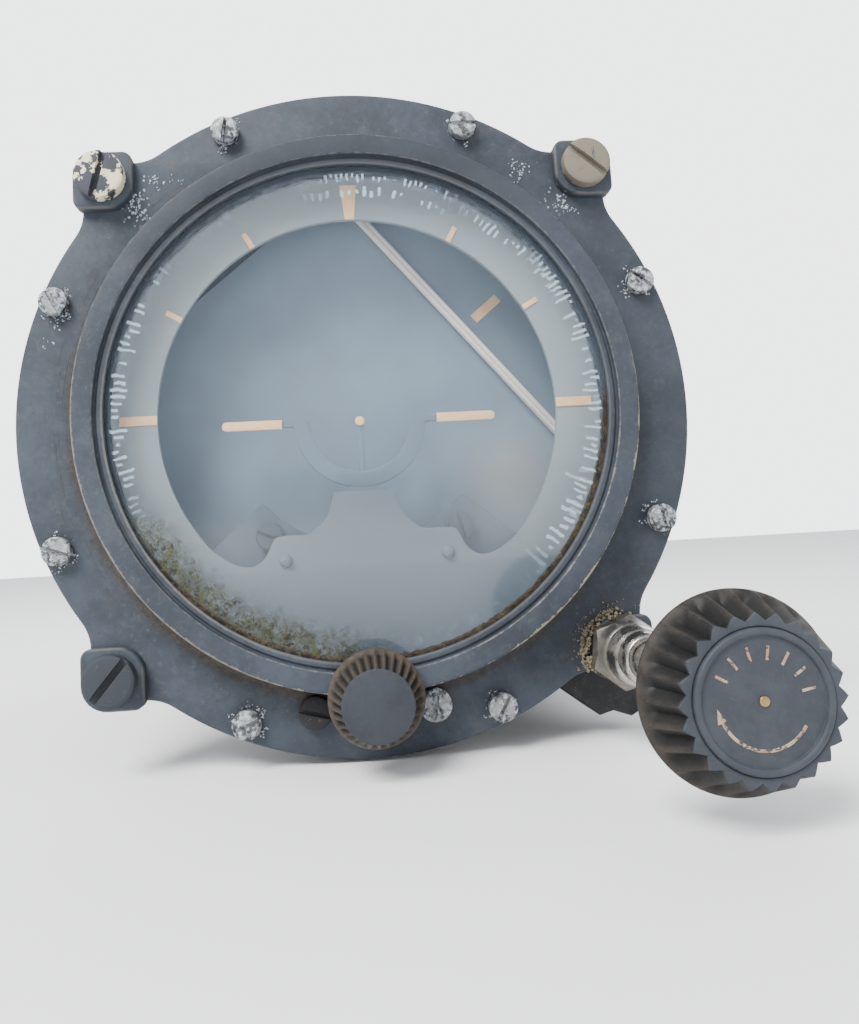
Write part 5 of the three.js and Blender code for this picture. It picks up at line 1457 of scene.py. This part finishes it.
def felt_finish():
    p = new_material("filter_felt")
    fibres = p.noise(0.5, 5, 0.8, seed=87, stretch=(1, 0.3, 3), distortion=1.5)
    colour = fibres.step(0.35, 0.65).mix(seen(150, 140, 120), seen(194, 186, 168))
    return finish(p, colour, fibres.step(0.3, 0.7, 0.9, 1.0), Normal=bump(fibres, 0.2, 0.9))


felt = felt_finish()
element = lathe([(0, 142.6), (12.2, 142.6), (12.2, 145.2, 0.5), (0, 145.4)], sides=72)
ring = lathe(oblong(9, 12.2, 145.6, 147), 0.25, sides=72)
place("felt_disc", element, "case", "filter_felt", felt, "air_filter_element")
place("filter_ring", ring, "case", "brass", brass, "air_filter_ring")

# %% Ports
PORT_X, PORT_Z = 26.0, -22.0
PIPE_SIDES = 48


def elbow_shape():
    """A pipe that leaves the hexagon backwards and bends down to its mouth. Its rings run along the outside
    and back along the inside."""
    x, z, bend_y, mouth = PORT_X, PORT_Z, 153.2, -42.0
    bend = 6.0
    path = [(145, z)] + arc(bend_y - bend, z - bend, bend, 90, 0, 12) + [(bend_y, mouth)]
    made = bmesh.new()
    rings = []
    for wall, order in ((5.0, 1), (3.2, -1)):
        for i, (y, h) in list(enumerate(path))[::order]:
            before, after = path[max(i - 1, 0)], path[min(i + 1, len(path) - 1)]
            run = Vector((0, after[0] - before[0], after[1] - before[1])).normalized()
            side = Vector((1, 0, 0))
            up = run.cross(side)
            turns = (2 * math.pi * k / PIPE_SIDES for k in range(PIPE_SIDES))
            spots = (Vector((x, y, h)) + (side * math.cos(t) + up * math.sin(t)) * wall for t in turns)
            rings.append([made.verts.new(spot * MM) for spot in spots])
    for near, far in zip(rings, rings[1:] + rings[:1]):
        for k in range(PIPE_SIDES):
            after = (k + 1) % PIPE_SIDES
            made.faces.new((near[k], near[after], far[after], far[k]))
    pipe = closed(made)
    lip = lathe([(3.3, 0), (5.8, 0, 0.4), (5.8, 2.5, 0.8), (4.8, 2.5), (3.3, 2.5)], sides=PIPE_SIDES)
    at_mouth = Matrix.Translation(Vector((x, bend_y, mouth)) * MM)
    lip = changed(lip, at_mouth @ Matrix.Rotation(math.pi / 2, 4, "X"))
    return joined(faced_back(chamfered_nut(15, -145.2, -140.7, x, z)), pipe, lip)


def plug_shape():
    head = faced_back(chamfered_nut(11, -145.7, -140.7, -PORT_X, PORT_Z))
    stem = lathe(oblong(0, 4.3, 134, 141), x=-PORT_X, z=PORT_Z, sides=48)
    return joined(head, stem)


place("suction_elbow", elbow_shape(), "case", "nickel_plate", nickel, "vacuum_elbow")
place("plug", plug_shape(), "case", "brass", brass, "port_plug")

# %% [markdown]
# ## The works inside
# The pieces inside the case keep their exact solids. They are seen through the window's edge, or when the
# case is taken off, so each gets the metal that it would be made of.

# %% Inner pieces
inner_pieces = (
    (steel, "glass_retaining_ring adjust_shaft foot_guide caging_shaft caging_spring rear_bearing"),
    (steel, "front_bearing pitch_bearing_left pitch_bearing_right rotor"),
    (brass, "adjuster_bush caging_cam caging_plunger vane_pair_fore_aft vane_pair_lateral"),
    (bracket_grey, "mask_bracket"),
    (aluminium, "roll_gimbal front_bearing_bracket gyro_housing housing_cover pendulum_body"),
    (rubber, "glass_seal"),
    (bar_paint, "horizon_bar_arm"),
)
for material, names in inner_pieces:
    for name in names.split():
        slots = nodes[name].data.materials
        slots.clear()
        slots.append(material)
    print(names, "in", material.name)

# %% [markdown]
# ## The floor
# The instrument rests on the rim of its flange and its case, so the floor lies just below both.

# %% Floor
FLOOR_Z = -61.6
FLOOR_REACH = 3000


def floor_finish():
    p = new_material("pale_floor")
    cloud = p.noise(300, 2, seed=91)
    return finish(p, cloud.step(0.3, 0.7).mix((0.86, 0.86, 0.86), (0.9, 0.9, 0.9)), 0.85)


floor_mesh = bpy.data.meshes.new("floor")
reach = FLOOR_REACH * MM
corners = [(x * reach, y * reach, FLOOR_Z * MM) for x, y in ((-1, -1), (1, -1), (1, 1), (-1, 1))]
floor_mesh.from_pydata(corners, [], [(0, 1, 2, 3)])
floor_mesh.materials.append(floor_finish())
floor = bpy.data.objects.new("floor", floor_mesh)
bpy.context.scene.collection.objects.link(floor)
